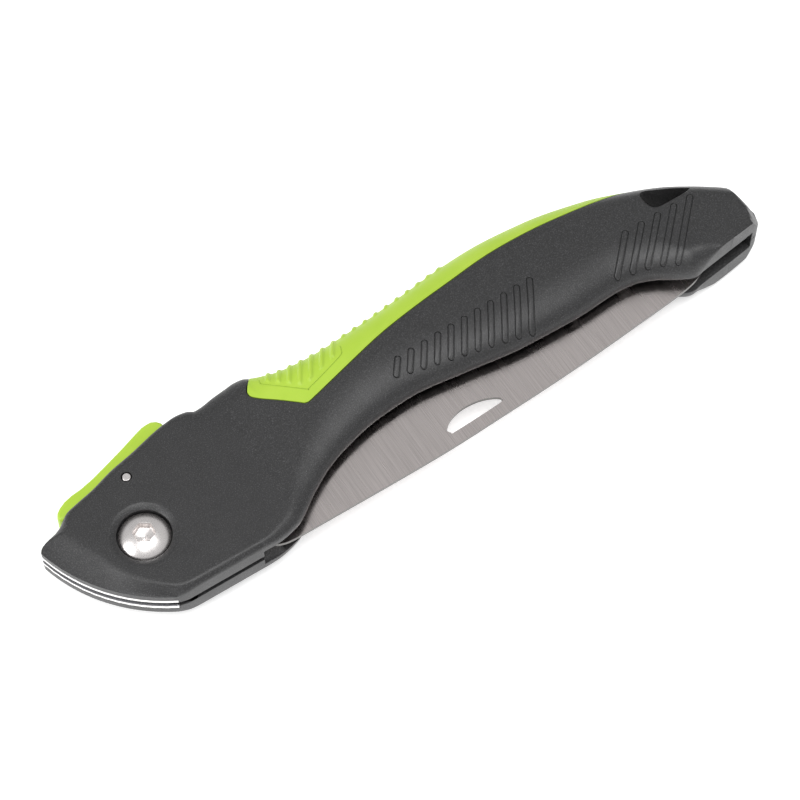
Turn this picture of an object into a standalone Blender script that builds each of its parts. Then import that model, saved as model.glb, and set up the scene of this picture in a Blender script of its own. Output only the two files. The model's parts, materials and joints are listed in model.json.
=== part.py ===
"""Folding pruning saw, folded, lying on its back half.

The design plane is laid out in millimetres round the pivot: X runs along the folded blade
towards the butt, Y towards the spine (the side the fingers don't reach), and Z across the
handle, from the back half to the front half. The empty "saw_frame" then carries everything
to the object's own origin, the bottom centre of its box.
"""

import math

import bmesh
import bpy
import numpy as np
from mathutils import Matrix, Vector

MM = 0.001

# Overall size
NOSE_X = -25.2
BUTT_X = 197.6
BELLY_Y = -20.2
LEVER_TOP_Y = 30.3
HEAD_HALF = 7.2
GRIP_HALF = 11.0

# Layers, as distances from the middle plane
BLADE_HALF = 0.55
WASHER_LAYER = (0.65, 0.95)
LINER_LAYER = (1.05, 2.15)
POCKET_HALF = 2.25
PARTING_HALF = 0.15
BAY_HALF = 3.6
LEVER_CORE_HALF = 0.9
LEVER_HALF = 4.1
LEVER_SLOT_HALF = 4.4

# Pivot
TANG_R = 14.8
BUSH_R = 5.0
BUSH_HOLE_R = 5.1
SCREW_SHANK_R = 3.9
SCREW_HOLE_R = 4.1
SCREW_HEAD_R = 7.0
SCREW_HEAD_LOW = 4.0
SCREW_HEAD_TOP = 8.5
SCREW_END = 7.0
NUT_SOCKET_END = 7.2
HEX_ACROSS_FLATS = 5.0
HEX_DEPTH = 2.6
COUNTERBORE_R = 7.5
COUNTERBORE_FLOOR = 3.9
WASHER_R = 9.0
# The button heads curve through this much of a quarter turn, and this much of their height
DOME_TURN = 0.93
DOME_RISE = 0.8

# Lock
LEVER_PIN = (4.6, 17.3)
LEVER_PIN_R = 1.25
LEVER_HUB_R = 2.8
LOCK_LINE_SLOPE = 0.27
LEVER_FLOOR_SLOPE = 0.123
HOOK_ANGLES = (96.0, 103.4, 110.5)
HOOK_R = 15.1
NOTCH_DEPTH = 2.6
NOTCH_HALF_ANGLE = 9.0
STOP_PIN_R = 1.5
OPEN_STOP = (16.7, 124.3)
CLOSED_STOP = (17.6, 40.9)
BACK_SHOULDER_ANGLE = -50.0
TOOTH_SHOULDER_ANGLE = 35.0
SPRING_X = 15.0
SPRING_Y = (16.0, 22.6)
SPRING_R = 2.0
SPRING_WIRE_R = 0.3
SPRING_TURNS = 5

# Blade
TOOTH_LINE = ((28.0, 9.3), (176.5, -1.0))
TOOTH_COUNT = 36
TOOTH_HEIGHT = 2.5
TOOTH_LINE_SAG = 1.4
BAY_CLEARANCE = 1.6

# Bay for the folded blade: its ends along X, and how its roof comes down at the butt
BAY_X = (29.5, 193.2)
BAY_HEAD_END_Y = -12.0
BAY_BUTT_END = ((193.2, -4.0), (184.0, -2.0))
LEVER_SLOT_X = (-16.9, 23.4)

# Where cutters end: past the middle plane, an outer surface, the belly and the spine
PAST_PARTING = -1.0
PAST_SURFACE = 12.0
PAST_BELLY = -30.0
PAST_SPINE = 36.0

# Handle
INLAY_THICKNESS = 1.5
FIT_GAP = 0.12
HANDLE_SCREWS = ((38.0, 16.0), (98.0, 13.5), (158.0, 13.0))
HANDLE_SCREW_R = 1.45
HANDLE_SCREW_HEAD_R = 2.9
HANDLE_SCREW_HEAD = (6.8, 5.0)
HANDLE_SCREW_END = 5.5
HANDLE_SCREW_STEPS = 24
SCREW_DRIVE_R = 1.2
SCREW_DRIVE_DEPTH = 0.9

NOSE_ARC_CENTRE = (21.86, 23.26)
NOSE_ARC_R = 48.73
NOSE_CORNER_X = -1.5

ROUND_STEPS = 40
PIN_STEPS = 24

# Edge of the handle seen from the front, as (x, y)
BELLY_POINTS = (
    (-1.5, -19.5), (2.0, BELLY_Y), (28.0, BELLY_Y), (35.3, -18.9), (45.6, -12.3),
    (52.6, -8.3), (60.0, -5.5), (72.0, -2.7), (84.0, -1.8), (99.4, -3.4),
    (118.3, -5.5), (135.0, -5.8), (149.7, -4.9), (155.2, -5.4), (161.1, -7.6),
    (166.3, -10.8), (171.2, -12.8), (174.0, -12.3), (182.7, -11.0), (193.0, -9.4),
    (195.2, -8.8), (196.9, -7.0), (BUTT_X, -4.4),
)
SPINE_POINTS = (
    (NOSE_X, 11.2), (-24.5, 12.1), (-22.6, 13.0), (-19.1, 14.0), (-17.7, 14.7), (-16.2, 15.7),
    (-14.0, 17.0), (-10.9, 17.9), (-5.2, 19.3), (2.5, 21.8), (8.7, 23.2), (21.3, 26.4),
    (25.8, 26.9), (28.2, 26.7), (29.5, 26.2), (30.4, 25.7), (32.4, 25.9), (36.5, 26.8),
    (41.1, 27.5), (44.0, 27.9), (46.4, 27.8), (48.2, 27.0), (51.6, 25.7), (57.0, 24.2),
    (66.3, 23.5), (80.0, 24.3), (97.7, 26.3), (112.0, 28.1), (124.0, 28.8), (139.3, 28.0),
    (157.8, 24.6), (170.5, 20.1), (178.7, 16.6), (186.2, 12.2), (194.2, 6.5), (196.6, 4.6),
    (197.2, 0.0), (BUTT_X, -3.8),
)
# How the outer surface rolls in from an edge: x, lip height, width, roundness
BELLY_ROLL = (
    (NOSE_X, 4.4, 7.0, 0.0), (-8.0, 4.4, 7.0, 0.0), (-1.5, 4.6, 3.0, 0.1),
    (4.0, 5.6, 1.4, 0.5), (26.0, 5.6, 1.4, 0.5), (36.0, 4.4, 3.5, 0.7),
    (48.0, 4.2, 8.0, 0.9), (70.0, 4.2, 14.0, 1.0), (150.0, 4.2, 13.0, 1.0),
    (166.0, 4.2, 10.0, 1.0), (173.0, 4.2, 6.0, 1.0), (176.0, 6.9, 4.0, 1.0),
    (180.0, 9.6, 1.6, 0.9), (184.0, 9.9, 0.8, 0.5), (BUTT_X, 10.2, 0.7, 0.2),
)
SPINE_ROLL = (
    (NOSE_X, 4.4, 3.0, 0.5), (-17.0, 4.6, 3.0, 0.6), (-14.0, 5.8, 1.6, 0.8),
    (24.0, 5.8, 1.6, 0.8), (34.0, 4.6, 5.0, 0.9), (50.0, 3.6, 8.5, 1.0),
    (150.0, 3.6, 9.0, 1.0), (172.0, 3.6, 6.0, 0.9), (BUTT_X, 3.6, 5.0, 0.8),
)
HEAD_TO_GRIP = (32.0, 80.0)
# The flat cut across the belly corner of the butt: two points on its crease, and its slope
BUTT_FACET = ((174.0, -9.0), (191.4, 1.6))
BUTT_FACET_SLOPE = 0.17
# The end face leans in above this height, rising by so much a millimetre, and turns in
# towards the belly below this y
END_LIP = 3.6
END_SLOPE = 1.75
END_TURN_Y = -4.0
END_TURN = 0.35

INLAY_OUTLINE = (
    (45.1, 20.0), (47.1, 18.0), (51.6, 14.1), (55.6, 10.3), (57.1, 9.6), (64.1, 11.1),
    (73.5, 13.4), (85.3, 16.4), (97.2, 18.5), (110.1, 20.2), (123.1, 21.8), (137.0, 22.1),
    (151.2, 21.2), (163.3, 19.9), (173.6, 19.0), (173.6, 34.0), (51.0, 34.0), (49.2, 27.5),
    (47.3, 24.9), (45.1, 21.8),
)
LANYARD_OUTLINE = (
    (170.8, 14.5), (170.8, 11.3), (171.9, 9.5), (173.6, 8.9), (182.6, 8.9), (184.4, 9.6),
    (181.0, 11.8), (177.2, 13.6), (174.2, 15.2), (172.2, 15.7),
)
BLADE_BACK = (
    (12.4, -14.8), (18.0, -15.3), (24.0, -16.2), (28.5, -18.4), (33.0, -19.8), (70.0, -19.9),
    (86.0, -19.6), (103.0, -18.7), (120.0, -17.7), (136.0, -16.4), (150.0, -15.0), (162.0, -13.8),
    (168.0, -13.0), (172.0, -12.0), (175.5, -10.4), (178.5, -8.0), (180.3, -5.4), (180.0, -4.0),
)
THUMB_HOLE = (
    (86.6, -14.6), (87.8, -15.9), (103.1, -15.0), (104.1, -13.8), (101.6, -12.2),
    (98.3, -11.2), (94.4, -10.9), (90.7, -11.5), (88.1, -12.9),
)
LEVER_TOP = (
    (-16.3, 17.2), (-16.2, 18.8), (-14.8, 20.4), (-12.4, 21.6), (-9.9, 22.2), (-7.0, 22.6),
    (-2.9, 23.6), (2.1, 25.2), (8.4, 27.3), (16.4, 30.1), (18.2, LEVER_TOP_Y), (19.4, LEVER_TOP_Y),
    (21.6, 28.6), (21.8, 27.0), (20.6, 24.5),
)
LEVER_FRONT_FOOT = (-12.3, 15.4)

PLASTIC = ("plastic_dark_grey", (0.062, 0.062, 0.064), 0.55, 0.0)
LIME = ("plastic_lime", (0.49, 0.77, 0.06), 0.45, 0.0)
BLADE_STEEL = ("blade_steel", (0.48, 0.45, 0.43), 0.35, 1.0)
LINER_STEEL = ("liner_steel", (0.78, 0.77, 0.76), 0.2, 1.0)
POLISHED_STEEL = ("polished_steel", (0.70, 0.66, 0.62), 0.12, 1.0)
SPRING_STEEL = ("spring_steel", (0.45, 0.45, 0.46), 0.3, 1.0)
BRONZE = ("washer_bronze", (0.55, 0.36, 0.16), 0.4, 1.0)


# Curves and numbers

def smooth_rail(points):
    """A smooth y(x) through the points that never swings past them."""
    xs = np.array([p[0] for p in points])
    ys = np.array([p[1] for p in points])
    steps = np.diff(xs)
    chords = np.diff(ys) / steps
    slopes = np.zeros(len(xs))
    slopes[0] = chords[0]
    slopes[-1] = chords[-1]
    for i in range(1, len(xs) - 1):
        if chords[i - 1] * chords[i] > 0:
            slopes[i] = 2 * chords[i - 1] * chords[i] / (chords[i - 1] + chords[i])

    def at(x):
        i = min(max(int(np.searchsorted(xs, x, side="right")) - 1, 0), len(xs) - 2)
        t = (x - xs[i]) / steps[i]
        rise = ys[i + 1] - ys[i]
        hermite = t * t * (3 - 2 * t) * rise
        ease_in = t * (1 - t) * (1 - t) * slopes[i] * steps[i]
        ease_out = t * t * (t - 1) * slopes[i + 1] * steps[i]
        return ys[i] + hermite + ease_in + ease_out

    return at


belly_rail = smooth_rail(BELLY_POINTS)
spine_rail = smooth_rail(SPINE_POINTS)


def nose_arc_y(x):
    return NOSE_ARC_CENTRE[1] - math.sqrt(NOSE_ARC_R**2 - (x - NOSE_ARC_CENTRE[0])**2)


def belly_y(x):
    return nose_arc_y(x) if x < NOSE_CORNER_X else belly_rail(x)


def slope_cosine(rail, x):
    rise = (rail(x + 0.5) - rail(x - 0.5)) if NOSE_X + 0.5 < x < BUTT_X - 0.5 else 0.0
    return 1.0 / math.hypot(1.0, rise)


def belly_distance(x, y):
    if x < NOSE_CORNER_X:
        return NOSE_ARC_R - math.hypot(x - NOSE_ARC_CENTRE[0], y - NOSE_ARC_CENTRE[1])
    return (y - belly_y(x)) * slope_cosine(belly_rail, x)


def spine_distance(x, y):
    return (spine_rail(x) - y) * slope_cosine(spine_rail, x)


def eased(low, high, x):
    t = min(max((x - low) / (high - low), 0.0), 1.0)
    return t * t * (3 - 2 * t)


def roll_at(table, x):
    xs = [row[0] for row in table]
    return [float(np.interp(x, xs, [row[k] for row in table])) for k in (1, 2, 3)]


def edge_roll(distance, table, x, top, inset):
    """Height of the surface at a distance in from an edge: a chamfer, a quarter round, or between."""
    lip, width, roundness = roll_at(table, x)
    t = min(max((distance - inset) / (width - inset), 0.0), 1.0)
    arc = math.sqrt(1 - (1 - t)**2)
    return lip + (top - lip) * ((1 - roundness) * t + roundness * arc)


def facet_drop(x, y):
    (ax, ay), (bx, by) = BUTT_FACET
    past = ((bx - ax) * (ay - y) - (by - ay) * (ax - x)) / math.hypot(bx - ax, by - ay)
    return BUTT_FACET_SLOPE * max(0.0, past)


def end_distance(x, y):
    return BUTT_X - x - END_TURN * max(0.0, END_TURN_Y - y)


def surface_z(x, y, inset=0.0):
    """Height of one handle half above the middle plane, or of the surface an inset below it."""
    top = HEAD_HALF + (GRIP_HALF - HEAD_HALF) * eased(*HEAD_TO_GRIP, x) - inset
    top = top - facet_drop(x, y)
    top = min(top, END_LIP + END_SLOPE * end_distance(x, y))
    belly = edge_roll(belly_distance(x, y), BELLY_ROLL, x, top, min(inset, 0.5))
    spine = edge_roll(spine_distance(x, y), SPINE_ROLL, x, top, inset)
    return min(belly, spine, top)


def polar(radius, degrees):
    return (radius * math.cos(math.radians(degrees)), radius * math.sin(math.radians(degrees)))


def lock_line(x):
    """Edge of the liners under the lever, ahead of its pin; it is flatter behind the pin."""
    slope = LOCK_LINE_SLOPE if x < LEVER_PIN[0] else LEVER_FLOOR_SLOPE
    return 19.6 + slope * (x - LEVER_PIN[0])


def tooth_line(s):
    (ax, ay), (bx, by) = TOOTH_LINE
    return (ax + (bx - ax) * s, ay + (by - ay) * s - TOOTH_LINE_SAG * math.sin(math.pi * s))


def grown(points, distance):
    """The outline moved outwards by a distance, for a counter-clockwise or clockwise outline."""
    count = len(points)
    area = sum(points[i - 1][0] * points[i][1] - points[i][0] * points[i - 1][1] for i in range(count))
    side = math.copysign(distance, area)
    result = []
    for i in range(count):
        here = Vector(points[i])
        arrive = (here - Vector(points[i - 1])).normalized()
        leave = (Vector(points[(i + 1) % count]) - here).normalized()
        normal_in = Vector((arrive.y, -arrive.x))
        normal_out = Vector((leave.y, -leave.x))
        middle = (normal_in + normal_out).normalized()
        reach = side / max(middle.dot(normal_in), 0.4)
        result.append(tuple(here + middle * reach))
    return result


# Scene, materials and modelling tools

def clear_scene():
    for item in list(bpy.data.objects):
        bpy.data.objects.remove(item, do_unlink=True)


def new_collection(name):
    collection = bpy.data.collections.new(name)
    bpy.context.scene.collection.children.link(collection)
    return collection


def material_for(node, look):
    label, colour, roughness, metallic = look
    material = bpy.data.materials.new(f"{node}_{label}")
    material.use_nodes = True
    shader = material.node_tree.nodes["Principled BSDF"]
    shader.inputs["Base Color"].default_value = (*colour, 1.0)
    shader.inputs["Roughness"].default_value = roughness
    shader.inputs["Metallic"].default_value = metallic
    material.diffuse_color = (*colour, 1.0)
    return material


def object_from(name, bm):
    """A new object from a bmesh in millimetres, with its faces pointing out."""
    bmesh.ops.remove_doubles(bm, verts=bm.verts, dist=0.0005)
    bmesh.ops.recalc_face_normals(bm, faces=bm.faces)
    bmesh.ops.scale(bm, vec=(MM, MM, MM), verts=bm.verts)
    mesh = bpy.data.meshes.new(name)
    bm.to_mesh(mesh)
    bm.free()
    return bpy.data.objects.new(name, mesh)


def prism(name, points, z_low, z_high):
    """A flat outline given a thickness: a filled 2D curve turned into a mesh."""
    curve = bpy.data.curves.new(name, "CURVE")
    curve.dimensions = "2D"
    curve.fill_mode = "BOTH"
    curve.extrude = (z_high - z_low) / 2 * MM
    spline = curve.splines.new("POLY")
    spline.points.add(len(points) - 1)
    for slot, (x, y) in zip(spline.points, points):
        slot.co = (x * MM, y * MM, 0.0, 1.0)
    spline.use_cyclic_u = True
    return mesh_of_curve(name, curve, (0.0, 0.0, (z_high + z_low) / 2 * MM))


def mesh_of_curve(name, curve, location):
    holder = bpy.data.objects.new(name + "_curve", curve)
    holder.location = location
    bpy.context.scene.collection.objects.link(holder)
    graph = bpy.context.evaluated_depsgraph_get()
    mesh = bpy.data.meshes.new_from_object(holder.evaluated_get(graph))
    mesh.transform(Matrix.Translation(location))
    mesh.name = name
    bpy.data.objects.remove(holder)
    bm = bmesh.new()
    bm.from_mesh(mesh)
    bmesh.ops.remove_doubles(bm, verts=bm.verts, dist=0.0005 * MM)
    bmesh.ops.recalc_face_normals(bm, faces=bm.faces)
    bm.to_mesh(mesh)
    bm.free()
    mesh.materials.clear()
    return bpy.data.objects.new(name, mesh)


def cylinder(name, centre, radius, z_low, z_high, steps=ROUND_STEPS):
    bm = bmesh.new()
    middle = Matrix.Translation((*centre, (z_low + z_high) / 2))
    bmesh.ops.create_cone(
        bm, cap_ends=True, segments=steps, radius1=radius, radius2=radius,
        depth=z_high - z_low, matrix=middle,
    )
    return object_from(name, bm)


def box(name, low, high):
    bm = bmesh.new()
    size = Vector(high) - Vector(low)
    centre = (Vector(high) + Vector(low)) / 2
    matrix = Matrix.Translation(centre) @ Matrix.Diagonal((*size, 1.0))
    bmesh.ops.create_cube(bm, size=1.0, matrix=matrix)
    return object_from(name, bm)


def turned(name, profile, centre=(0.0, 0.0)):
    """A profile of (radius, z), running down its outer side, turned about a line along Z."""
    bm = bmesh.new()
    verts = [bm.verts.new((radius, 0.0, z)) for radius, z in profile]
    for start, end in zip(verts, verts[1:]):
        bm.edges.new((start, end))
    if profile[0][0] > 0:
        bm.edges.new((verts[-1], verts[0]))
    bmesh.ops.scale(bm, vec=(MM, MM, MM), verts=bm.verts)
    mesh = bpy.data.meshes.new(name)
    bm.to_mesh(mesh)
    bm.free()
    piece = bpy.data.objects.new(name, mesh)
    piece.location = (centre[0] * MM, centre[1] * MM, 0.0)
    screw = piece.modifiers.new("turn", "SCREW")
    screw.axis = "Z"
    screw.steps = ROUND_STEPS
    screw.render_steps = ROUND_STEPS
    screw.use_merge_vertices = True
    screw.merge_threshold = 0.000001
    return piece


def loft(name, rings):
    """Closed rings of points joined one to the next, with a flat cap at each end."""
    bm = bmesh.new()
    loops = [[bm.verts.new(point) for point in ring] for ring in rings]
    count = len(loops[0])
    for near, far in zip(loops, loops[1:]):
        for i in range(count):
            j = (i + 1) % count
            bm.faces.new((near[i], near[j], far[j], far[i]))
    bm.faces.new(loops[0])
    bm.faces.new(loops[-1])
    return object_from(name, bm)


class Workshop:
    """Puts parts and cutters in their collections and hangs them on the saw's frame."""

    def __init__(self):
        self.parts = new_collection("folding_pruning_saw")
        self.cutters = new_collection("cutters")
        self.frame = bpy.data.objects.new("saw_frame", None)
        self.parts.objects.link(self.frame)
        middle = ((NOSE_X + BUTT_X) / 2, (BELLY_Y + LEVER_TOP_Y) / 2, -GRIP_HALF)
        self.frame.location = Vector(middle) * -MM

    def keep(self, piece, look, origin=(0.0, 0.0)):
        """Adds a part. A moving part's own origin is put on its joint's axis."""
        shift = Vector((*origin, 0.0)) * MM
        piece.data.transform(Matrix.Translation(-shift))
        piece.location = piece.location + shift
        piece.parent = self.frame
        piece.data.materials.append(material_for(piece.name, look))
        self.parts.objects.link(piece)
        return piece

    def tool(self, piece):
        piece.parent = self.frame
        piece.hide_render = True
        piece.display_type = "WIRE"
        self.cutters.objects.link(piece)
        return piece

    def combine(self, piece, tool, operation="DIFFERENCE"):
        modifier = piece.modifiers.new(tool.name, "BOOLEAN")
        modifier.operation = operation
        modifier.solver = "EXACT"
        modifier.object = tool
        return piece

    def cut(self, piece, *tools):
        for tool in tools:
            self.combine(piece, tool)
        return piece


def round_edges(piece, width, segments, angle=40.0):
    bevel = piece.modifiers.new("rounded", "BEVEL")
    bevel.width = width * MM
    bevel.segments = segments
    bevel.limit_method = "ANGLE"
    bevel.angle_limit = math.radians(angle)
    return piece


def shade(piece):
    piece.data.shade_smooth()
    piece.data.set_sharp_from_angle(angle=math.radians(35))


# Handle

def stations():
    """Places along the handle where its cross-section is drawn."""
    nose = [NOSE_X, -24.9, -24.3, -23.2, -21.5, -19.4, -17.6, -16.2, -13.6, -10.5, -7.0, -4.0, -1.5]
    head = [1.0, 4.0, 12.0, 20.0, 26.0, 29.0, 32.0, 35.5, 39.0, 43.0, 47.0, 51.0]
    grip = list(np.linspace(56.0, 148.0, 13))
    butt = [153.0, 158.0, 163.0, 167.0, 171.2, 173.0, 174.6, 176.0, 178.0, 180.0, 184.0, 188.0, 191.4]
    end = [193.0, 194.2, 195.4, 196.3, 197.0, BUTT_X]
    return nose + head + grip + butt + end


def half_section(x, inset, floor):
    """Ring of points across one half: up the belly edge, over the surface, down the spine edge."""
    low = belly_y(x) + (inset if x > NOSE_CORNER_X else 0.0)
    high = max(spine_rail(x) - inset, low + 0.3)
    spread = [0.0, 0.02, 0.06, 0.12, 0.2, 0.3, 0.42, 0.55, 0.68, 0.79, 0.88, 0.94, 0.98, 1.0]
    ring = [(x, low, floor)]
    for share in spread:
        y = low + (high - low) * share
        ring.append((x, y, surface_z(x, y, inset)))
    ring.append((x, high, floor))
    return ring


def handle_block(name, side, inset=0.0, floor=PARTING_HALF):
    """Solid block of one half. side is 1 for the front half and -1 for the back half."""
    rings = [[(x, y, z * side) for x, y, z in half_section(x, inset, floor)] for x in stations()]
    return loft(name, rings)


def layer(side, near, far):
    """z range of a layer on one side of the middle plane."""
    return (near, far) if side > 0 else (-far, -near)


def liner_outline():
    arc_start = math.atan2(nose_arc_y(NOSE_X) - NOSE_ARC_CENTRE[1], NOSE_X - NOSE_ARC_CENTRE[0])
    arc_end = math.atan2(
        nose_arc_y(NOSE_CORNER_X) - NOSE_ARC_CENTRE[1], NOSE_CORNER_X - NOSE_ARC_CENTRE[0]
    )
    points = []
    for share in np.linspace(0.0, 1.0, 13):
        angle = arc_start + (arc_end - arc_start) * share
        x = NOSE_ARC_CENTRE[0] + NOSE_ARC_R * math.cos(angle)
        y = NOSE_ARC_CENTRE[1] + NOSE_ARC_R * math.sin(angle)
        points.append((x, y))
    points += [(-0.4, -18.4), (25.0, -18.4), (29.0, -13.0), (34.0, -4.0), (41.0, 4.0), (50.0, 9.8)]
    points += [(50.0, 21.0), (44.0, 23.5), (25.5, 23.5), (23.2, lock_line(23.2))]
    points += [(17.9, lock_line(17.9)), (17.9, 15.3), (12.1, 15.3), (12.1, lock_line(12.1))]
    points += [(LEVER_PIN[0], lock_line(LEVER_PIN[0])), (NOSE_X, lock_line(NOSE_X))]
    return points


def blade_sweep_outline():
    """Everything the blade's root passes through between folded and open, ahead of the grip."""
    return [(-32.0, 24.0), (-32.0, -26.0), (29.5, -26.0), (29.5, -10.0), (0.0, 0.0), (-19.3, 24.0)]


def blade_bay_outline():
    """Room for the folded blade, open along the belly and closed above the teeth."""
    head_x, butt_x = BAY_X
    mouth = [(head_x, PAST_BELLY), (butt_x, PAST_BELLY), *BAY_BUTT_END]
    ceiling = [tooth_line(s) for s in np.linspace(1.0, 0.0, 7)]
    ceiling = [(x, y + BAY_CLEARANCE) for x, y in ceiling]
    return mouth + ceiling + [(head_x, BAY_HEAD_END_Y)]


def lever_slot_outline():
    front, rear = LEVER_SLOT_X
    return [
        (front, lock_line(front)), (LEVER_PIN[0], lock_line(LEVER_PIN[0])), (rear, lock_line(rear)),
        (rear, PAST_SPINE), (front, PAST_SPINE),
    ]


def half_cutters(shop, label, side):
    """Tools that hollow out one half, on its own side of the middle plane."""
    through = layer(side, PAST_PARTING, PAST_SURFACE)
    liner_room = layer(side, PAST_PARTING, POCKET_HALF)
    pocket = prism(f"{label}_liner_pocket", grown(liner_outline(), 0.15), *liner_room)
    sweep_room = layer(side, PAST_PARTING, WASHER_LAYER[1])
    sweep = prism(f"{label}_blade_sweep", blade_sweep_outline(), *sweep_room)
    bay = prism(f"{label}_blade_bay", blade_bay_outline(), *layer(side, PAST_PARTING, BAY_HALF))
    slot_room = layer(side, PAST_PARTING, LEVER_SLOT_HALF)
    slot = prism(f"{label}_lever_slot", lever_slot_outline(), *slot_room)
    seat_room = layer(side, COUNTERBORE_FLOOR, PAST_SURFACE)
    seat = cylinder(f"{label}_counterbore", (0.0, 0.0), COUNTERBORE_R, *seat_room)
    shank = cylinder(f"{label}_pivot_hole", (0.0, 0.0), SCREW_HOLE_R, *through)
    pin = cylinder(f"{label}_lever_pin_hole", LEVER_PIN, LEVER_PIN_R + FIT_GAP, *through, PIN_STEPS)
    reach = SPRING_R + SPRING_WIRE_R + 0.3
    spring_low = (SPRING_X - reach, SPRING_Y[0] - 0.3, -reach)
    spring_seat = box(f"{label}_spring_pocket", spring_low, (SPRING_X + reach, 27.0, reach))
    lanyard = prism(f"{label}_lanyard_hole", LANYARD_OUTLINE, *through)
    tools = [pocket, sweep, bay, slot, seat, shank, pin, spring_seat, lanyard]
    for number, centre in enumerate(HANDLE_SCREWS, 1):
        end = HANDLE_SCREW_END + 0.4 if side > 0 else PAST_SURFACE
        hole = cylinder(
            f"{label}_screw_hole_{number}", centre, HANDLE_SCREW_R + 0.15,
            *layer(side, PAST_PARTING, end), HANDLE_SCREW_STEPS,
        )
        tools.append(hole)
        if side < 0:
            recess = cylinder(
                f"{label}_screw_recess_{number}", centre, HANDLE_SCREW_HEAD_R + 0.4, -PAST_SURFACE,
                -HANDLE_SCREW_HEAD[1] + 0.1, HANDLE_SCREW_STEPS,
            )
            tools.append(recess)
    return [shop.tool(piece) for piece in tools]


def make_half(shop, label, side):
    """One handle half and the lime inlay let into its outer surface."""
    skin_depth = INLAY_THICKNESS + FIT_GAP
    shell = shop.keep(handle_block(f"handle_shell_{label}", side), PLASTIC)
    inlay = shop.keep(handle_block(f"grip_inlay_{label}", side), LIME)

    block_floor = 2 * PAST_PARTING
    under_inlay = shop.tool(handle_block(f"{label}_under_inlay", side, INLAY_THICKNESS, block_floor))
    inlay_area = shop.tool(prism(f"{label}_inlay_area", INLAY_OUTLINE, -PAST_SURFACE, PAST_SURFACE))
    shop.combine(inlay, inlay_area, "INTERSECT")
    shop.cut(inlay, under_inlay)

    under_recess = shop.tool(handle_block(f"{label}_under_recess", side, skin_depth, block_floor))
    recess_outline = grown(INLAY_OUTLINE, FIT_GAP)
    recess = shop.tool(prism(f"{label}_inlay_recess", recess_outline, -PAST_SURFACE, PAST_SURFACE))
    shop.cut(recess, under_recess)
    shop.cut(shell, recess, *half_cutters(shop, label, side))
    return shell, inlay


def make_liner(shop, label, side):
    low, high = layer(side, *LINER_LAYER)
    liner = shop.keep(prism(f"liner_{label}", liner_outline(), low, high), LINER_STEEL)
    holes = [("pivot", (0.0, 0.0), BUSH_HOLE_R), ("lever_pin", LEVER_PIN, LEVER_PIN_R + FIT_GAP)]
    holes += [("open_stop", polar(*OPEN_STOP), STOP_PIN_R + FIT_GAP)]
    holes += [("closed_stop", polar(*CLOSED_STOP), STOP_PIN_R + FIT_GAP)]
    holes += [("handle_screw", HANDLE_SCREWS[0], HANDLE_SCREW_R + 0.3)]
    for label_of_hole, centre, radius in holes:
        tool = cylinder(f"liner_{label}_{label_of_hole}", centre, radius, low - 1.0, high + 1.0, 32)
        shop.cut(liner, shop.tool(tool))
    return liner


# Blade

def blade_outline():
    """Tang disc with its lock notch, back edge, tip and teeth, for the folded blade."""
    notch = HOOK_ANGLES[1] + 180.0
    points = []
    for angle in np.linspace(TOOTH_SHOULDER_ANGLE, BACK_SHOULDER_ANGLE + 360.0, 62):
        if abs(angle - notch) > NOTCH_HALF_ANGLE + 0.5:
            points.append((angle, TANG_R))
    for offset, depth in ((-1.0, 0.0), (-0.78, NOTCH_DEPTH), (0.78, NOTCH_DEPTH), (1.0, 0.0)):
        points.append((notch + offset * NOTCH_HALF_ANGLE, TANG_R - depth))
    outline = [polar(radius, angle) for angle, radius in sorted(points)]
    outline += BLADE_BACK
    for tooth in range(TOOTH_COUNT, 0, -1):
        tip = tooth_line((tooth - 0.5) / TOOTH_COUNT)
        heel = tooth_line((tooth - 1) / TOOTH_COUNT)
        outline.append(tip)
        outline.append((heel[0], heel[1] - TOOTH_HEIGHT))
    outline.append((TOOTH_LINE[0][0] - 1.5, TOOTH_LINE[0][1] - 0.6))
    outline.append(polar(19.0, TOOTH_SHOULDER_ANGLE))
    return outline


def make_blade(shop):
    blade = shop.keep(prism("saw_blade", blade_outline(), -BLADE_HALF, BLADE_HALF), BLADE_STEEL)
    pivot = cylinder("blade_pivot_hole", (0.0, 0.0), BUSH_HOLE_R, -2.0, 2.0)
    thumb = prism("blade_thumb_hole", THUMB_HOLE, -2.0, 2.0)
    return shop.cut(blade, shop.tool(pivot), shop.tool(thumb))


# Pivot

def dome(low, top, radius, steps=7):
    """Points of a button head, from its crown down to its rim."""
    last = DOME_TURN * math.pi / 2
    points = []
    for angle in np.linspace(0.0, last, steps):
        drop = (top - low) * DOME_RISE * (1 - math.cos(angle))
        points.append((radius * math.sin(angle) / math.sin(last), top - drop))
    return points + [(radius, low)]


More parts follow.
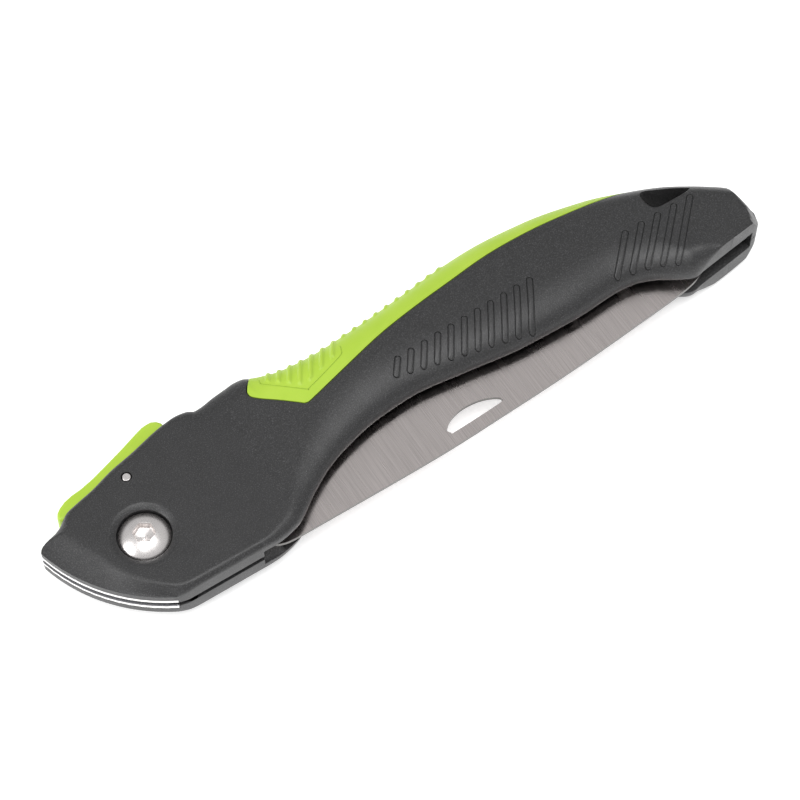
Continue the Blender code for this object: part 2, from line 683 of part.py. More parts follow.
def make_pivot(shop):
    head = dome(SCREW_HEAD_LOW, SCREW_HEAD_TOP, SCREW_HEAD_R)
    shank = [(SCREW_SHANK_R, SCREW_HEAD_LOW), (SCREW_SHANK_R, -SCREW_END), (0.0, -SCREW_END)]
    screw = shop.keep(turned("pivot_screw", head + shank), POLISHED_STEEL)
    hexagon = cylinder(
        "hex_socket", (0.0, 0.0), HEX_ACROSS_FLATS / math.sqrt(3), SCREW_HEAD_TOP - HEX_DEPTH,
        PAST_SURFACE, 6,
    )
    shop.cut(screw, shop.tool(hexagon))

    cap = [(radius, -z) for radius, z in reversed(head)]
    socket = [(0.0, -NUT_SOCKET_END), (SCREW_HOLE_R, -NUT_SOCKET_END), (SCREW_HOLE_R, -SCREW_HEAD_LOW)]
    shop.keep(turned("pivot_nut", socket + cap), POLISHED_STEEL)

    bush_end = LINER_LAYER[1]
    ring = [(BUSH_R, bush_end), (BUSH_R, -bush_end), (SCREW_HOLE_R, -bush_end), (SCREW_HOLE_R, bush_end)]
    shop.keep(turned("pivot_bush", ring), BRONZE)
    for label, side in (("front", 1), ("back", -1)):
        low, high = layer(side, *WASHER_LAYER)
        ring = [(WASHER_R, high), (WASHER_R, low), (BUSH_HOLE_R, low), (BUSH_HOLE_R, high)]
        shop.keep(turned(f"washer_{label}", ring), BRONZE)


# Lock

def core_outline():
    """Steel core of the lever: hub round the pin, hook over the tang, arm up into the button."""
    hub = [
        (LEVER_PIN[0] + x, LEVER_PIN[1] + y)
        for x, y in (polar(LEVER_HUB_R, angle) for angle in np.linspace(-170.0, 20.0, 12))
    ]
    arm = [(8.2, 20.8), (16.0, 25.2), (15.0, 26.6), (-8.0, 20.2), (-8.4, 17.6), (-6.4, 17.2)]
    hook = [polar(HOOK_R, angle) for angle in reversed(HOOK_ANGLES)]
    return hub + arm + hook + [(-1.0, 17.0)]


def button_outline():
    under = [(LEVER_PIN[0], lock_line(LEVER_PIN[0]) + 0.4)]
    return [*under, LEVER_FRONT_FOOT, *LEVER_TOP]


def make_lever(shop):
    core = prism("lock_lever", core_outline(), -LEVER_CORE_HALF, LEVER_CORE_HALF)
    pin_hole = cylinder("lever_hub_hole", LEVER_PIN, LEVER_PIN_R + FIT_GAP, -6.0, 6.0, PIN_STEPS)
    pin_hole = shop.tool(pin_hole)
    shop.cut(shop.keep(core, LINER_STEEL, LEVER_PIN), pin_hole)

    button = prism("lock_button", button_outline(), -LEVER_HALF, LEVER_HALF)
    button = shop.keep(button, LIME, LEVER_PIN)
    round_edges(button, 0.8, 2)
    core_slot = prism(
        "lever_core_slot", grown(core_outline(), FIT_GAP), -LEVER_CORE_HALF - FIT_GAP,
        LEVER_CORE_HALF + FIT_GAP,
    )
    shop.cut(button, shop.tool(core_slot))

    pin_end = HEAD_HALF - 0.1
    lever_pin = cylinder("lever_pin", LEVER_PIN, LEVER_PIN_R, -pin_end, pin_end, PIN_STEPS)
    shop.keep(lever_pin, POLISHED_STEEL)
    stops = (("open_stop_pin", OPEN_STOP), ("closed_stop_pin", CLOSED_STOP))
    for name, place in stops:
        end = LINER_LAYER[1]
        shop.keep(cylinder(name, polar(*place), STOP_PIN_R, -end, end, PIN_STEPS), POLISHED_STEEL)


def make_spring(shop):
    """Compression spring under the lever's rear pad, standing along Y."""
    low, high = SPRING_Y
    run = high - low - 2 * SPRING_WIRE_R
    steps_a_turn = 12
    curve = bpy.data.curves.new("lever_spring", "CURVE")
    curve.dimensions = "3D"
    curve.bevel_depth = SPRING_WIRE_R * MM
    curve.bevel_resolution = 1
    curve.use_fill_caps = True
    spline = curve.splines.new("POLY")
    count = SPRING_TURNS * steps_a_turn
    spline.points.add(count)
    for number, slot in enumerate(spline.points):
        x, z = polar(SPRING_R, 360.0 * number / steps_a_turn)
        y = low + SPRING_WIRE_R + run * number / count
        slot.co = ((SPRING_X + x) * MM, y * MM, z * MM, 1.0)
    shop.keep(mesh_of_curve("lever_spring", curve, (0.0, 0.0, 0.0)), SPRING_STEEL)


def make_handle_screw(shop, number, centre):
    head_top, head_low = HANDLE_SCREW_HEAD
    profile = [
        (0.0, HANDLE_SCREW_END), (HANDLE_SCREW_R, HANDLE_SCREW_END - 0.6), (HANDLE_SCREW_R, -head_low),
        (HANDLE_SCREW_HEAD_R, -head_low), (HANDLE_SCREW_HEAD_R, -head_top + 0.7),
        (HANDLE_SCREW_HEAD_R - 0.8, -head_top), (0.0, -head_top),
    ]
    screw = turned(f"handle_screw_{number}", profile, centre)
    screw.modifiers["turn"].steps = HANDLE_SCREW_STEPS
    screw.modifiers["turn"].render_steps = HANDLE_SCREW_STEPS
    shop.keep(screw, POLISHED_STEEL)
    drive_floor = -head_top + SCREW_DRIVE_DEPTH
    recess = cylinder(f"screw_drive_{number}", centre, SCREW_DRIVE_R, -PAST_SURFACE, drive_floor, 6)
    shop.cut(screw, shop.tool(recess))


def main():
    clear_scene()
    shop = Workshop()
    for label, side in (("front", 1), ("back", -1)):
        make_half(shop, label, side)
        make_liner(shop, label, side)
    make_blade(shop)
    make_pivot(shop)
    make_lever(shop)
    make_spring(shop)
    for number, centre in enumerate(HANDLE_SCREWS, 1):
        make_handle_screw(shop, number, centre)
    for piece in shop.parts.objects:
        if piece.type == "MESH":
            shade(piece)


main()
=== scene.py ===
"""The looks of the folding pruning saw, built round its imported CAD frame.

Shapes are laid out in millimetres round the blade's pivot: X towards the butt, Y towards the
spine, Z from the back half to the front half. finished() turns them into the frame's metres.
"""

import json
import math

import bmesh
import bpy
import numpy as np
from mathutils import Matrix, Vector


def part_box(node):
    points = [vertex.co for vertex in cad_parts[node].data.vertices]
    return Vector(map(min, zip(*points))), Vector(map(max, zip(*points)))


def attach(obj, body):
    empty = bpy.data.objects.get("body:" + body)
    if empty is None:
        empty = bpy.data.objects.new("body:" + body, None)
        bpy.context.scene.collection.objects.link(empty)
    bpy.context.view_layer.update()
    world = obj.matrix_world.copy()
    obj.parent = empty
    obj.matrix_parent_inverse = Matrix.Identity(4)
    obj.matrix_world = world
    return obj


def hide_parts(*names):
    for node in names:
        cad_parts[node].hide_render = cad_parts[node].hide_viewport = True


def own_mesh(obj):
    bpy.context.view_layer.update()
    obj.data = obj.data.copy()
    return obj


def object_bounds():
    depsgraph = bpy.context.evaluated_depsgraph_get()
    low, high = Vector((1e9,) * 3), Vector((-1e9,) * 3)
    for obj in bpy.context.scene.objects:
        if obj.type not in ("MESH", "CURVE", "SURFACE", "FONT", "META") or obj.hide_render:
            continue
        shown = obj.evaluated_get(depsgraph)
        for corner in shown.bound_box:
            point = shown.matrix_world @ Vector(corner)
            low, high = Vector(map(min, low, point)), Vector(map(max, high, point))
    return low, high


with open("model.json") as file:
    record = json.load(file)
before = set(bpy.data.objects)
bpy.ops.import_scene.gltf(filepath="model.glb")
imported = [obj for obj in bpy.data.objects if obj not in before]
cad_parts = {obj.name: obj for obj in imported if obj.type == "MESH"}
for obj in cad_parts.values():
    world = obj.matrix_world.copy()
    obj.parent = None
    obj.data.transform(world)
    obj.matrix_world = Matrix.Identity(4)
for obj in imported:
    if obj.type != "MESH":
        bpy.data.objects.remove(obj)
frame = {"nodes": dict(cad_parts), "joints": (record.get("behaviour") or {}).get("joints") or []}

MM = 0.001
CAD_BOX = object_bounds()
JOINTS = {joint["name"]: joint for joint in frame["joints"]}
PIVOT = Vector(JOINTS["blade_pivot"]["pos_m"])
LEVER_AXIS = (Vector(JOINTS["lock_lever"]["pos_m"]) - PIVOT) / MM


def node_box(node):
    """Lowest and highest corner of a CAD node, in millimetres round the pivot."""
    low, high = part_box(node)
    return (low - PIVOT) / MM, (high - PIVOT) / MM


SHELL_LOW, SHELL_HIGH = node_box("handle_shell_front")
BLADE_HALF = node_box("saw_blade")[1].z
LINER_NEAR = node_box("liner_front")[0].z
LINER_FAR = node_box("liner_front")[1].z
NOSE_X = SHELL_LOW.x
BUTT_X = SHELL_HIGH.x
BELLY_Y = SHELL_LOW.y
RIB_RISE = 0.2
GRIP_HALF = SHELL_HIGH.z - RIB_RISE - 0.02
PARTING_HALF = 0.12

HEAD_HALF = 7.2
POCKET_HALF = LINER_FAR + 0.1
SWEEP_HALF = 0.95
BAY_HALF = 3.6
LEVER_SLOT_HALF = 4.4
HOLLOW_HALF = 6.3
RIM_WIDTH = 1.8
HEAD_TO_GRIP = (32.0, 80.0)

NOSE_ARC_CENTRE = np.array((21.86, 23.26))
NOSE_ARC_R = 48.73
NOSE_CORNER_X = -1.5
NOSE_LIP = 4.4

BELLY_POINTS = (
    (-1.5, -19.5), (2.0, BELLY_Y), (28.0, BELLY_Y), (35.3, -18.9), (45.6, -12.3),
    (52.6, -8.3), (60.0, -5.5), (72.0, -2.7), (84.0, -1.8), (99.4, -3.4),
    (118.3, -5.5), (135.0, -5.8), (149.7, -4.9), (155.2, -5.4), (161.1, -7.6),
    (166.3, -10.8), (171.2, -12.8), (174.0, -12.3), (182.7, -11.0), (193.0, -9.4),
    (195.2, -8.8), (196.9, -7.0), (BUTT_X, -4.4),
)
SPINE_POINTS = (
    (NOSE_X, 11.2), (-24.5, 12.1), (-22.6, 13.0), (-19.1, 14.0), (-17.7, 14.7), (-16.2, 15.7),
    (-14.0, 17.0), (-10.9, 17.9), (-5.2, 19.3), (2.5, 21.8), (8.7, 23.2), (21.3, 26.4),
    (25.8, 26.9), (28.2, 26.7), (29.5, 26.2), (30.4, 25.7), (32.4, 25.9), (36.5, 26.8),
    (41.1, 27.5), (44.0, 27.9), (46.4, 27.8), (48.2, 27.0), (51.6, 25.7), (57.0, 24.2),
    (66.3, 23.5), (80.0, 24.3), (97.7, 26.3), (112.0, 28.1), (124.0, 28.8), (139.3, 28.0),
    (157.8, 24.6), (170.5, 20.1), (178.7, 16.6), (186.2, 12.2), (194.2, 6.5), (196.6, 4.6),
    (197.2, 0.0), (BUTT_X, -3.8),
)
# How the outer surface rolls in from an edge: x, lip height, width, roundness
BELLY_ROLL = (
    (-1.5, 4.6, 2.0, 0.1), (4.0, 5.6, 1.5, 0.3), (26.0, 5.6, 1.4, 0.4), (36.0, 4.4, 3.5, 0.7),
    (48.0, 4.2, 8.0, 0.9), (70.0, 4.2, 14.0, 1.0), (150.0, 4.2, 13.0, 1.0),
    (166.0, 4.2, 10.0, 1.0), (173.0, 4.2, 6.0, 1.0), (176.0, 6.9, 4.0, 1.0),
    (180.0, 9.6, 1.6, 0.9), (184.0, 9.9, 0.8, 0.5), (BUTT_X, 10.2, 0.7, 0.2),
)
SPINE_ROLL = (
    (NOSE_X, 4.4, 3.0, 0.5), (-17.0, 4.6, 3.0, 0.6), (-14.0, 5.8, 1.6, 0.8),
    (24.0, 5.8, 1.6, 0.8), (34.0, 4.6, 5.0, 0.9), (50.0, 3.6, 8.5, 1.0),
    (150.0, 3.6, 9.0, 1.0), (172.0, 3.6, 6.0, 0.9), (BUTT_X, 3.6, 5.0, 0.8),
)
# Width of the nose's slope against the angle round its arc
NOSE_SLOPE = ((190.0, 8.0), (205.0, 7.6), (213.7, 7.2), (223.4, 4.8), (231.2, 3.3), (241.3, 2.0))
BUTT_FACET = ((174.0, -9.0), (191.4, 1.6))
BUTT_FACET_SLOPE = 0.17
END_LIP = 3.6
END_SLOPE = 1.75
END_TURN_Y = -4.0
END_TURN = 0.35

INLAY_LOWER_EDGE = (
    (45.1, 21.8), (45.0, 20.9), (45.3, 19.9), (47.1, 18.0), (51.6, 14.1), (55.2, 10.7), (55.9, 10.0),
    (56.8, 9.65), (57.9, 9.7), (64.1, 11.1), (73.5, 13.4), (85.3, 16.4), (97.2, 18.5), (110.1, 20.2),
    (123.1, 21.8), (137.0, 22.1), (151.2, 21.2), (163.3, 19.9), (173.6, 19.0),
)
INLAY_FRONT_EDGE = ((50.8, 34.0), (50.6, 31.0), (49.4, 27.8), (47.3, 24.9), (46.0, 23.2))
LANYARD_OUTLINE = (
    (170.7, 14.8), (170.6, 13.0), (170.8, 11.2), (171.6, 9.6), (173.4, 8.9), (178.7, 8.8), (182.6, 8.9),
    (184.2, 9.6), (180.9, 11.7), (177.0, 13.6), (173.9, 15.2), (172.0, 15.7),
)
THUMB_PANEL = ((49.9, 23.6), (49.7, 22.4), (50.2, 21.2), (58.4, 13.3), (60.0, 13.0), (71.0, 16.1),
               (72.8, 17.7), (73.4, 19.3))
THUMB_RIB_DIRECTION = Vector((0.545, 0.839))
THUMB_RIB_FIRST = 31.4
THUMB_RIB_PITCH = 2.92
THUMB_RIBS = 7
SPINE_BUMPS = 17
THUMB_RIB_FEET = ((51.0, 21.6), (57.9, 15.2), (60.8, 14.8), (69.8, 17.2))

TANG_R = 14.8
LOCK_LINE_SLOPE = 0.27
LEVER_FLOOR_SLOPE = 0.123
COUNTERBORE_R = 7.5
COUNTERBORE_FLOOR = 3.9
SEAT_CHAMFER_R = 9.4
SEAT_CHAMFER_DEPTH = 0.75
SCREW_HOLE_R = 4.1
SCREW_HEAD_R = 7.0
SCREW_HEAD_LOW = 4.0
SCREW_HEAD_TOP = 8.5
DOME_LOW = 5.5
HANDLE_SCREWS = ("handle_screw_1", "handle_screw_2", "handle_screw_3")
BUSH_HOLE_R = 5.1
SHANK_HOLE_R = 1.65

BLADE_BACK = (
    (12.4, -14.8), (18.0, -15.3), (24.0, -16.2), (28.0, -18.2), (30.5, -19.3), (33.5, -19.85),
    (40.0, -19.9), (70.0, -19.9), (86.0, -19.6), (103.0, -18.7), (120.0, -17.7), (136.0, -16.4),
    (150.0, -15.0), (162.0, -13.8), (168.0, -13.0), (172.0, -12.0), (175.5, -10.4), (178.5, -8.0),
    (180.3, -5.4), (180.0, -4.0),
)
THUMB_HOLE = (
    (86.3, -14.4), (86.9, -15.6), (88.1, -15.95), (102.9, -15.1), (104.2, -14.4), (104.0, -13.6),
    (101.6, -12.2), (98.3, -11.2), (94.4, -10.9), (90.7, -11.5), (88.1, -12.7),
)
NOTCH_ANGLE = 283.4
NOTCH_HALF_ANGLE = 9.0
NOTCH_DEPTH = 2.6
TOOTH_COUNT = 36
TOOTH_HEIGHT = 2.5
TOOTH_GRIND = 0.85
# Line of the teeth: where it starts, how far it runs along X and Y, and its sag between
TEETH_START = (28.0, 9.3)
TEETH_RUN = (148.5, -10.3)
TEETH_SAG = 1.4
LEVER_TOP = (
    (-16.5, 17.0), (-16.4, 18.4), (-15.7, 19.6), (-14.5, 20.6), (-12.5, 21.6), (-9.9, 22.3),
    (-7.0, 22.65), (-2.9, 23.6), (2.1, 25.2), (8.4, 27.3), (13.0, 29.0), (16.2, 30.1), (17.6, 30.28),
    (19.2, 30.28), (20.6, 29.6), (21.6, 28.4), (21.8, 27.0), (20.6, 24.5),
)
# Inset and height over the surface of each ring of a raised grip rib
RIB_LEVELS = ((0.0, -0.7), (0.0, 0.02), (0.05, 0.11), (0.16, 0.17), (0.4, RIB_RISE))

# Hollows, along X, and the room left over the folded teeth
BAY_X = (24.5, 193.2)
BAY_CEILING_X = (50.0, 176.5)
BAY_OVER_TEETH = 1.6
HOLLOW_X = (64.0, 166.0)
LEVER_SLOT_X = (-17.1, 23.4)
POCKET_GAP = 0.15
INLAY_GAP = 0.28

# Where cutters end: past the middle plane, an outer surface, the belly, the spine and the blade
PAST_PARTING = -1.0
PAST_SURFACE = 12.0
PAST_BELLY = -30.0
PAST_SPINE = 36.0
PAST_BLADE = 2.0
UNDER_INLAY_FLOOR = -2.0

# Faces that meet at less than this are shaded as one surface
SMOOTH_ANGLE = math.radians(35.0)


# Numbers and curves

def rail(points):
    """A smooth y(x) through the points that never swings past them, for arrays of x."""
    xs, ys = np.array(points, float).T
    steps = np.diff(xs)
    chords = np.diff(ys) / steps
    slopes = np.concatenate(([chords[0]], np.zeros(len(chords) - 1), [chords[-1]]))
    product = chords[:-1] * chords[1:]
    total = np.where(product > 0, chords[:-1] + chords[1:], 1.0)
    slopes[1:-1] = np.where(product > 0, 2 * product / total, 0.0)

    def y_at(x):
        x = np.asarray(x, float)
        i = np.clip(np.searchsorted(xs, x, side="right") - 1, 0, len(xs) - 2)
        t = (x - xs[i]) / steps[i]
        curve = t * t * (3 - 2 * t) * (ys[i + 1] - ys[i])
        ease = t * (1 - t) * steps[i] * ((1 - t) * slopes[i] - t * slopes[i + 1])
        return ys[i] + curve + ease

    return y_at


belly_rail = rail(BELLY_POINTS)
spine_rail = rail(SPINE_POINTS)


def belly_y(x):
    x = np.asarray(x, float)
    inside = np.maximum(NOSE_ARC_R**2 - (x - NOSE_ARC_CENTRE[0])**2, 0.0)
    arc = NOSE_ARC_CENTRE[1] - np.sqrt(inside)
    return np.where(x < NOSE_CORNER_X, arc, belly_rail(np.maximum(x, NOSE_CORNER_X)))


def eased(low, high, x):
    t = np.clip((x - low) / (high - low), 0.0, 1.0)
    return t * t * (3 - 2 * t)


def soft_min(a, b, blend):
    return 0.5 * (a + b - np.sqrt((a - b)**2 + blend**2))


def columns(table, x):
    rows = np.array(table)
    return [np.interp(x, rows[:, 0], rows[:, k]) for k in range(1, rows.shape[1])]


def rail_distance(curve, x, y):
    rise = curve(x + 0.4) - curve(x - 0.4)
    return np.abs(y - curve(x)) / np.hypot(1.0, rise / 0.8)


def roll(distance, lip, width, roundness, top, edge_radius):
    """Height in from an edge: chamfer or quarter round, with a small radius on the very edge."""
    t = np.clip(distance / width, 0.0, 1.0)
    arc = np.sqrt(1 - (1 - t)**2)
    chamfer = soft_min(distance / width, 1.0, 0.12)
    height = lip + (top - lip) * ((1 - roundness) * chamfer + roundness * arc)
    e = np.clip(distance / edge_radius, 0.0, 1.0)
    return height - edge_radius * (1 - np.sqrt(1 - (1 - e)**2))


def surface_z(x, y, inset=0.0):
    """Height of one half's outer surface above the middle plane."""
    top = HEAD_HALF + (GRIP_HALF - HEAD_HALF) * eased(*HEAD_TO_GRIP, x) - inset
    (ax, ay), (bx, by) = BUTT_FACET
    past = ((bx - ax) * (ay - y) - (by - ay) * (ax - x)) / math.hypot(bx - ax, by - ay)
    top = soft_min(top, top - BUTT_FACET_SLOPE * past, 0.12)
    end_distance = BUTT_X - x - END_TURN * np.maximum(0.0, END_TURN_Y - y)
    top = soft_min(top, END_LIP + END_SLOPE * end_distance, 0.2)

    lip, width, roundness = columns(BELLY_ROLL, x)
    belly = roll(rail_distance(belly_y, x, y) - inset, lip, width, roundness, top, 0.35)
    from_centre = np.hypot(x - NOSE_ARC_CENTRE[0], y - NOSE_ARC_CENTRE[1])
    angle = np.degrees(np.arctan2(y - NOSE_ARC_CENTRE[1], x - NOSE_ARC_CENTRE[0])) % 360.0
    nose_width = columns(NOSE_SLOPE, angle)[0]
    share = soft_min((NOSE_ARC_R - from_centre) / nose_width, 1.0, 0.06)
    nose = NOSE_LIP + (top - NOSE_LIP) * np.clip(share, 0.0, 1.0)**1.3
    belly = np.where(x < NOSE_CORNER_X, nose, belly)

    lip, width, roundness = columns(SPINE_ROLL, x)
    spine = roll(rail_distance(spine_rail, x, y) - inset, lip, width - inset, roundness, top, 0.35)
    return np.minimum(soft_min(belly, spine, 0.05), top)


def polar(radius, degrees):
    return (radius * math.cos(math.radians(degrees)), radius * math.sin(math.radians(degrees)))


def lock_line(x):
    slope = LOCK_LINE_SLOPE if x < LEVER_AXIS.x else LEVER_FLOOR_SLOPE
    return LEVER_AXIS.y + 2.3 + slope * (x - LEVER_AXIS.x)


def smooth_outline(points, per_span=5, closed=True):
    """More points along an outline, on a curve through the ones given."""
    pts = [Vector(p) for p in points]
    count = len(pts)
    result = []
    for i in range(count if closed else count - 1):
        near = [i - 1, i, i + 1, i + 2]
        a, b, c, d = (pts[k % count if closed else min(max(k, 0), count - 1)] for k in near)
        for step in range(per_span):
            t = step / per_span
            result.append(tuple(0.5 * (2 * b + (c - a) * t + (2 * a - 5 * b + 4 * c - d) * t**2
                                       + (3 * b - a - 3 * c + d) * t**3)))
    return result


def grown(points, distance):
    """The closed outline moved outwards by a distance."""
    count = len(points)
    area = sum(points[i - 1][0] * points[i][1] - points[i][0] * points[i - 1][1] for i in range(count))
    side = math.copysign(distance, area)
    result = []
    for i in range(count):
        here = Vector(points[i])
        arrive = (here - Vector(points[i - 1])).normalized()
        leave = (Vector(points[(i + 1) % count]) - here).normalized()
        normal_in = Vector((arrive.y, -arrive.x))
        middle = (normal_in + Vector((leave.y, -leave.x))).normalized()
        result.append(tuple(here + middle * (side / max(middle.dot(normal_in), 0.4))))
    return result


# Mesh making

def finished(name, bm):
    """Turns a bmesh in design millimetres into a placed object with its faces pointing out."""
    bmesh.ops.recalc_face_normals(bm, faces=bm.faces)
    bmesh.ops.transform(bm, matrix=Matrix.Translation(PIVOT) @ Matrix.Scale(MM, 4), verts=bm.verts)
    mesh = bpy.data.meshes.new(name)
    bm.to_mesh(mesh)
    bm.free()
    piece = bpy.data.objects.new(name, mesh)
    bpy.context.scene.collection.objects.link(piece)
    mesh.shade_smooth()
    mesh.set_sharp_from_angle(angle=SMOOTH_ANGLE)
    return piece


def ring_loft(name, rings, closed_ends=True):
    bm = bmesh.new()
    loops = [[bm.verts.new(point) for point in ring] for ring in rings]
    count = len(loops[0])
    for near, far in zip(loops, loops[1:]):
        for i in range(count):
            j = (i + 1) % count
            bm.faces.new((near[i], near[j], far[j], far[i]))
    if closed_ends:
        bm.faces.new(loops[0])
        bm.faces.new(loops[-1])
    return finished(name, bm)


def prism(name, low_outline, z_low, z_high, high_outline=None):
    low = [(x, y, z_low) for x, y in low_outline]
    high = [(x, y, z_high) for x, y in (high_outline or low_outline)]
    return ring_loft(name, [low, high])


def turned(name, profile, centre=(0.0, 0.0), steps=96):
    """A closed loop of (radius, z) turned about a line along Z."""
    bm = bmesh.new()
    on_axis = {}
    columns_made = []
    for step in range(steps):
        angle = 2 * math.pi * step / steps
        column = []
        for number, (radius, z) in enumerate(profile):
            if radius < 1e-6:
                if number not in on_axis:
                    on_axis[number] = bm.verts.new((centre[0], centre[1], z))
                column.append(on_axis[number])
            else:
                x = centre[0] + radius * math.cos(angle)
                y = centre[1] + radius * math.sin(angle)
                column.append(bm.verts.new((x, y, z)))
        columns_made.append(column)
    count = len(profile)
    spans = range(count - 1) if profile[0][0] < 1e-6 else range(count)
    for step in range(steps):
        here, there = columns_made[step], columns_made[(step + 1) % steps]
        for i in spans:
            j = (i + 1) % count
            corners = []
            for vert in (here[i], here[j], there[j], there[i]):
                if vert not in corners:
                    corners.append(vert)
            if len(corners) > 2:
                bm.faces.new(corners)
    return finished(name, bm)


def cylinder(name, centre, radius, z_low, z_high, steps=96):
    circle = [
        (centre[0] + radius * math.cos(2 * math.pi * k / steps),
         centre[1] + radius * math.sin(2 * math.pi * k / steps)) for k in range(steps)
    ]
    return prism(name, circle, z_low, z_high)


def combine(piece, tool, operation="DIFFERENCE"):
    """Applies a Boolean at once and removes the tool."""
    modifier = piece.modifiers.new("combine", "BOOLEAN")
    modifier.operation = operation
    modifier.solver = "MANIFOLD"
    modifier.object = tool
    apply_modifiers(piece)
    bpy.data.objects.remove(tool)
    return piece


def apply_modifiers(piece):
    bpy.context.view_layer.update()
    graph = bpy.context.evaluated_depsgraph_get()
    mesh = bpy.data.meshes.new_from_object(piece.evaluated_get(graph))
    piece.modifiers.clear()
    old = piece.data
    piece.data = mesh
    mesh.name = piece.name
    bpy.data.meshes.remove(old)
    mesh.shade_smooth()
    mesh.set_sharp_from_angle(angle=SMOOTH_ANGLE)


def bevelled(piece, width, segments=2, angle=40.0):
    modifier = piece.modifiers.new("edges", "BEVEL")
    modifier.width = width * MM
    modifier.segments = segments
    modifier.limit_method = "ANGLE"
    modifier.angle_limit = math.radians(angle)
    modifier.harden_normals = False
    apply_modifiers(piece)
    return piece


def fine_copy(node, name, width):
    """A CAD node's shape as a new piece, its flat faces merged and its edges rounded."""
    bm = bmesh.new()
    bm.from_mesh(frame["nodes"][node].data)
    bmesh.ops.remove_doubles(bm, verts=bm.verts, dist=1e-7)
    bmesh.ops.dissolve_limit(bm, angle_limit=math.radians(0.5), verts=bm.verts, edges=bm.edges)
    mesh = bpy.data.meshes.new(name)
    bm.to_mesh(mesh)
    bm.free()
    piece = bpy.data.objects.new(name, mesh)
    bpy.context.scene.collection.objects.link(piece)
    return bevelled(piece, width)


def install(piece, material, body, slot, *nodes):
    """Gives a finished piece its material and body and hides the CAD nodes it stands for; slot is not used."""
    piece.data.materials.clear()
    piece.data.materials.append(material)
    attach(piece, body)
    if nodes:
        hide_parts(*nodes)
    return piece


# Handle halves

def stations(low, high, step):
    """x values along the handle, closer together at the nose and at the butt."""
    nose = NOSE_X + 9.0 * np.linspace(0.0, 1.0, 26)**2
    butt = BUTT_X - 4.0 * np.linspace(0.0, 1.0, 14)[::-1]**2
    middle = np.arange(NOSE_X + 9.0 + step, BUTT_X - 4.0 - step / 2, step)
    every = np.concatenate((nose, middle, butt))
    return every[(every >= low) & (every <= high)]


def section(x, inset, count):
    """y and z across one half at x, from the belly edge to the spine edge."""
    u = np.linspace(0.0, 1.0, count)
    low = float(belly_y(x))
    high = float(spine_rail(x)) - inset
    y = low + (high - low) * u * u * (3 - 2 * u)
    return y, surface_z(np.full(count, x), y, inset)


def handle_block(name, places, inset=0.0, floor=PARTING_HALF, count=64, relief=None):
    """The front half as a solid block; relief may push its surface out along its normal."""
    rings = []
    for x in places:
        y, z = section(x, inset, count)
        wall = np.linspace(floor, z[-1], 8)[:-1]
        ys = np.concatenate(([y[0]], y, np.full(7, y[-1])))
        zs = np.concatenate(([floor], z, wall[::-1]))
        if relief:
            dy, dz = np.gradient(ys), np.gradient(zs)
            length = np.maximum(np.hypot(dy, dz), 1e-6)
            lift = relief(np.full(len(ys), x), ys, zs)
            ys, zs = ys - lift * dz / length, zs + lift * dy / length
            zs[-1] = floor
        rings.append([(x, a, b) for a, b in zip(ys, zs)])
    return ring_loft(name, rings)


def liner_outline():
    """The liner's own outline, a little larger, as the pocket that takes it."""
    start = math.atan2(float(belly_y(NOSE_X)) - NOSE_ARC_CENTRE[1], NOSE_X - NOSE_ARC_CENTRE[0])
    end = math.atan2(
        float(belly_y(NOSE_CORNER_X - 0.01)) - NOSE_ARC_CENTRE[1], NOSE_CORNER_X - NOSE_ARC_CENTRE[0]
    )
    arc = [
        (NOSE_ARC_CENTRE[0] + NOSE_ARC_R * math.cos(a), NOSE_ARC_CENTRE[1] + NOSE_ARC_R * math.sin(a))
        for a in np.linspace(start, end, 40)
    ]
    belly = [(-0.4, -18.4), (25.0, -18.4), (29.0, -13.0), (34.0, -4.0), (41.0, 4.0), (50.0, 9.8)]
    spine = [(50.0, 21.0), (44.0, 23.5), (25.5, 23.5), (23.2, lock_line(23.2))]
    pocket = [(17.9, lock_line(17.9)), (17.9, 15.3), (12.1, 15.3), (12.1, lock_line(12.1))]
    lock = [(LEVER_AXIS.x, lock_line(LEVER_AXIS.x)), (NOSE_X, lock_line(NOSE_X))]
    return arc + belly + spine + pocket + lock


def tooth_line(s):
    sag = TEETH_SAG * math.sin(math.pi * s)
    return (TEETH_START[0] + TEETH_RUN[0] * s, TEETH_START[1] + TEETH_RUN[1] * s - sag)


def bay_ceiling(low_x, high_x, count):
    """Points a little above the folded blade's teeth, from the butt towards the head."""
    ends = [(x - TEETH_START[0]) / TEETH_RUN[0] for x in (high_x, low_x)]
    return [(x, y + BAY_OVER_TEETH) for x, y in map(tooth_line, np.linspace(*ends, count))]


def bay_outline():
    """The blade's bay: it stops short of the liners at the head and of the end wall at the butt."""
    head_x, butt_x = BAY_X
    butt = [(head_x, PAST_BELLY), (butt_x, PAST_BELLY), (butt_x, -4.0), (184.0, -2.0)]
    head = [(41.2, 3.8), (34.3, -4.2), (29.3, -13.2), (head_x, -19.4)]
    return butt + bay_ceiling(*BAY_CEILING_X, 9) + head


def hollow_outline():
    """The deeper hollow behind the belly's rim."""
    belly = [(x, float(belly_y(x)) + RIM_WIDTH) for x in np.linspace(*HOLLOW_X, 40)]
    return belly + bay_ceiling(*HOLLOW_X, 12)


def conformal_z(x, y):
    return surface_z(np.array([x]), np.array([y]))[0]


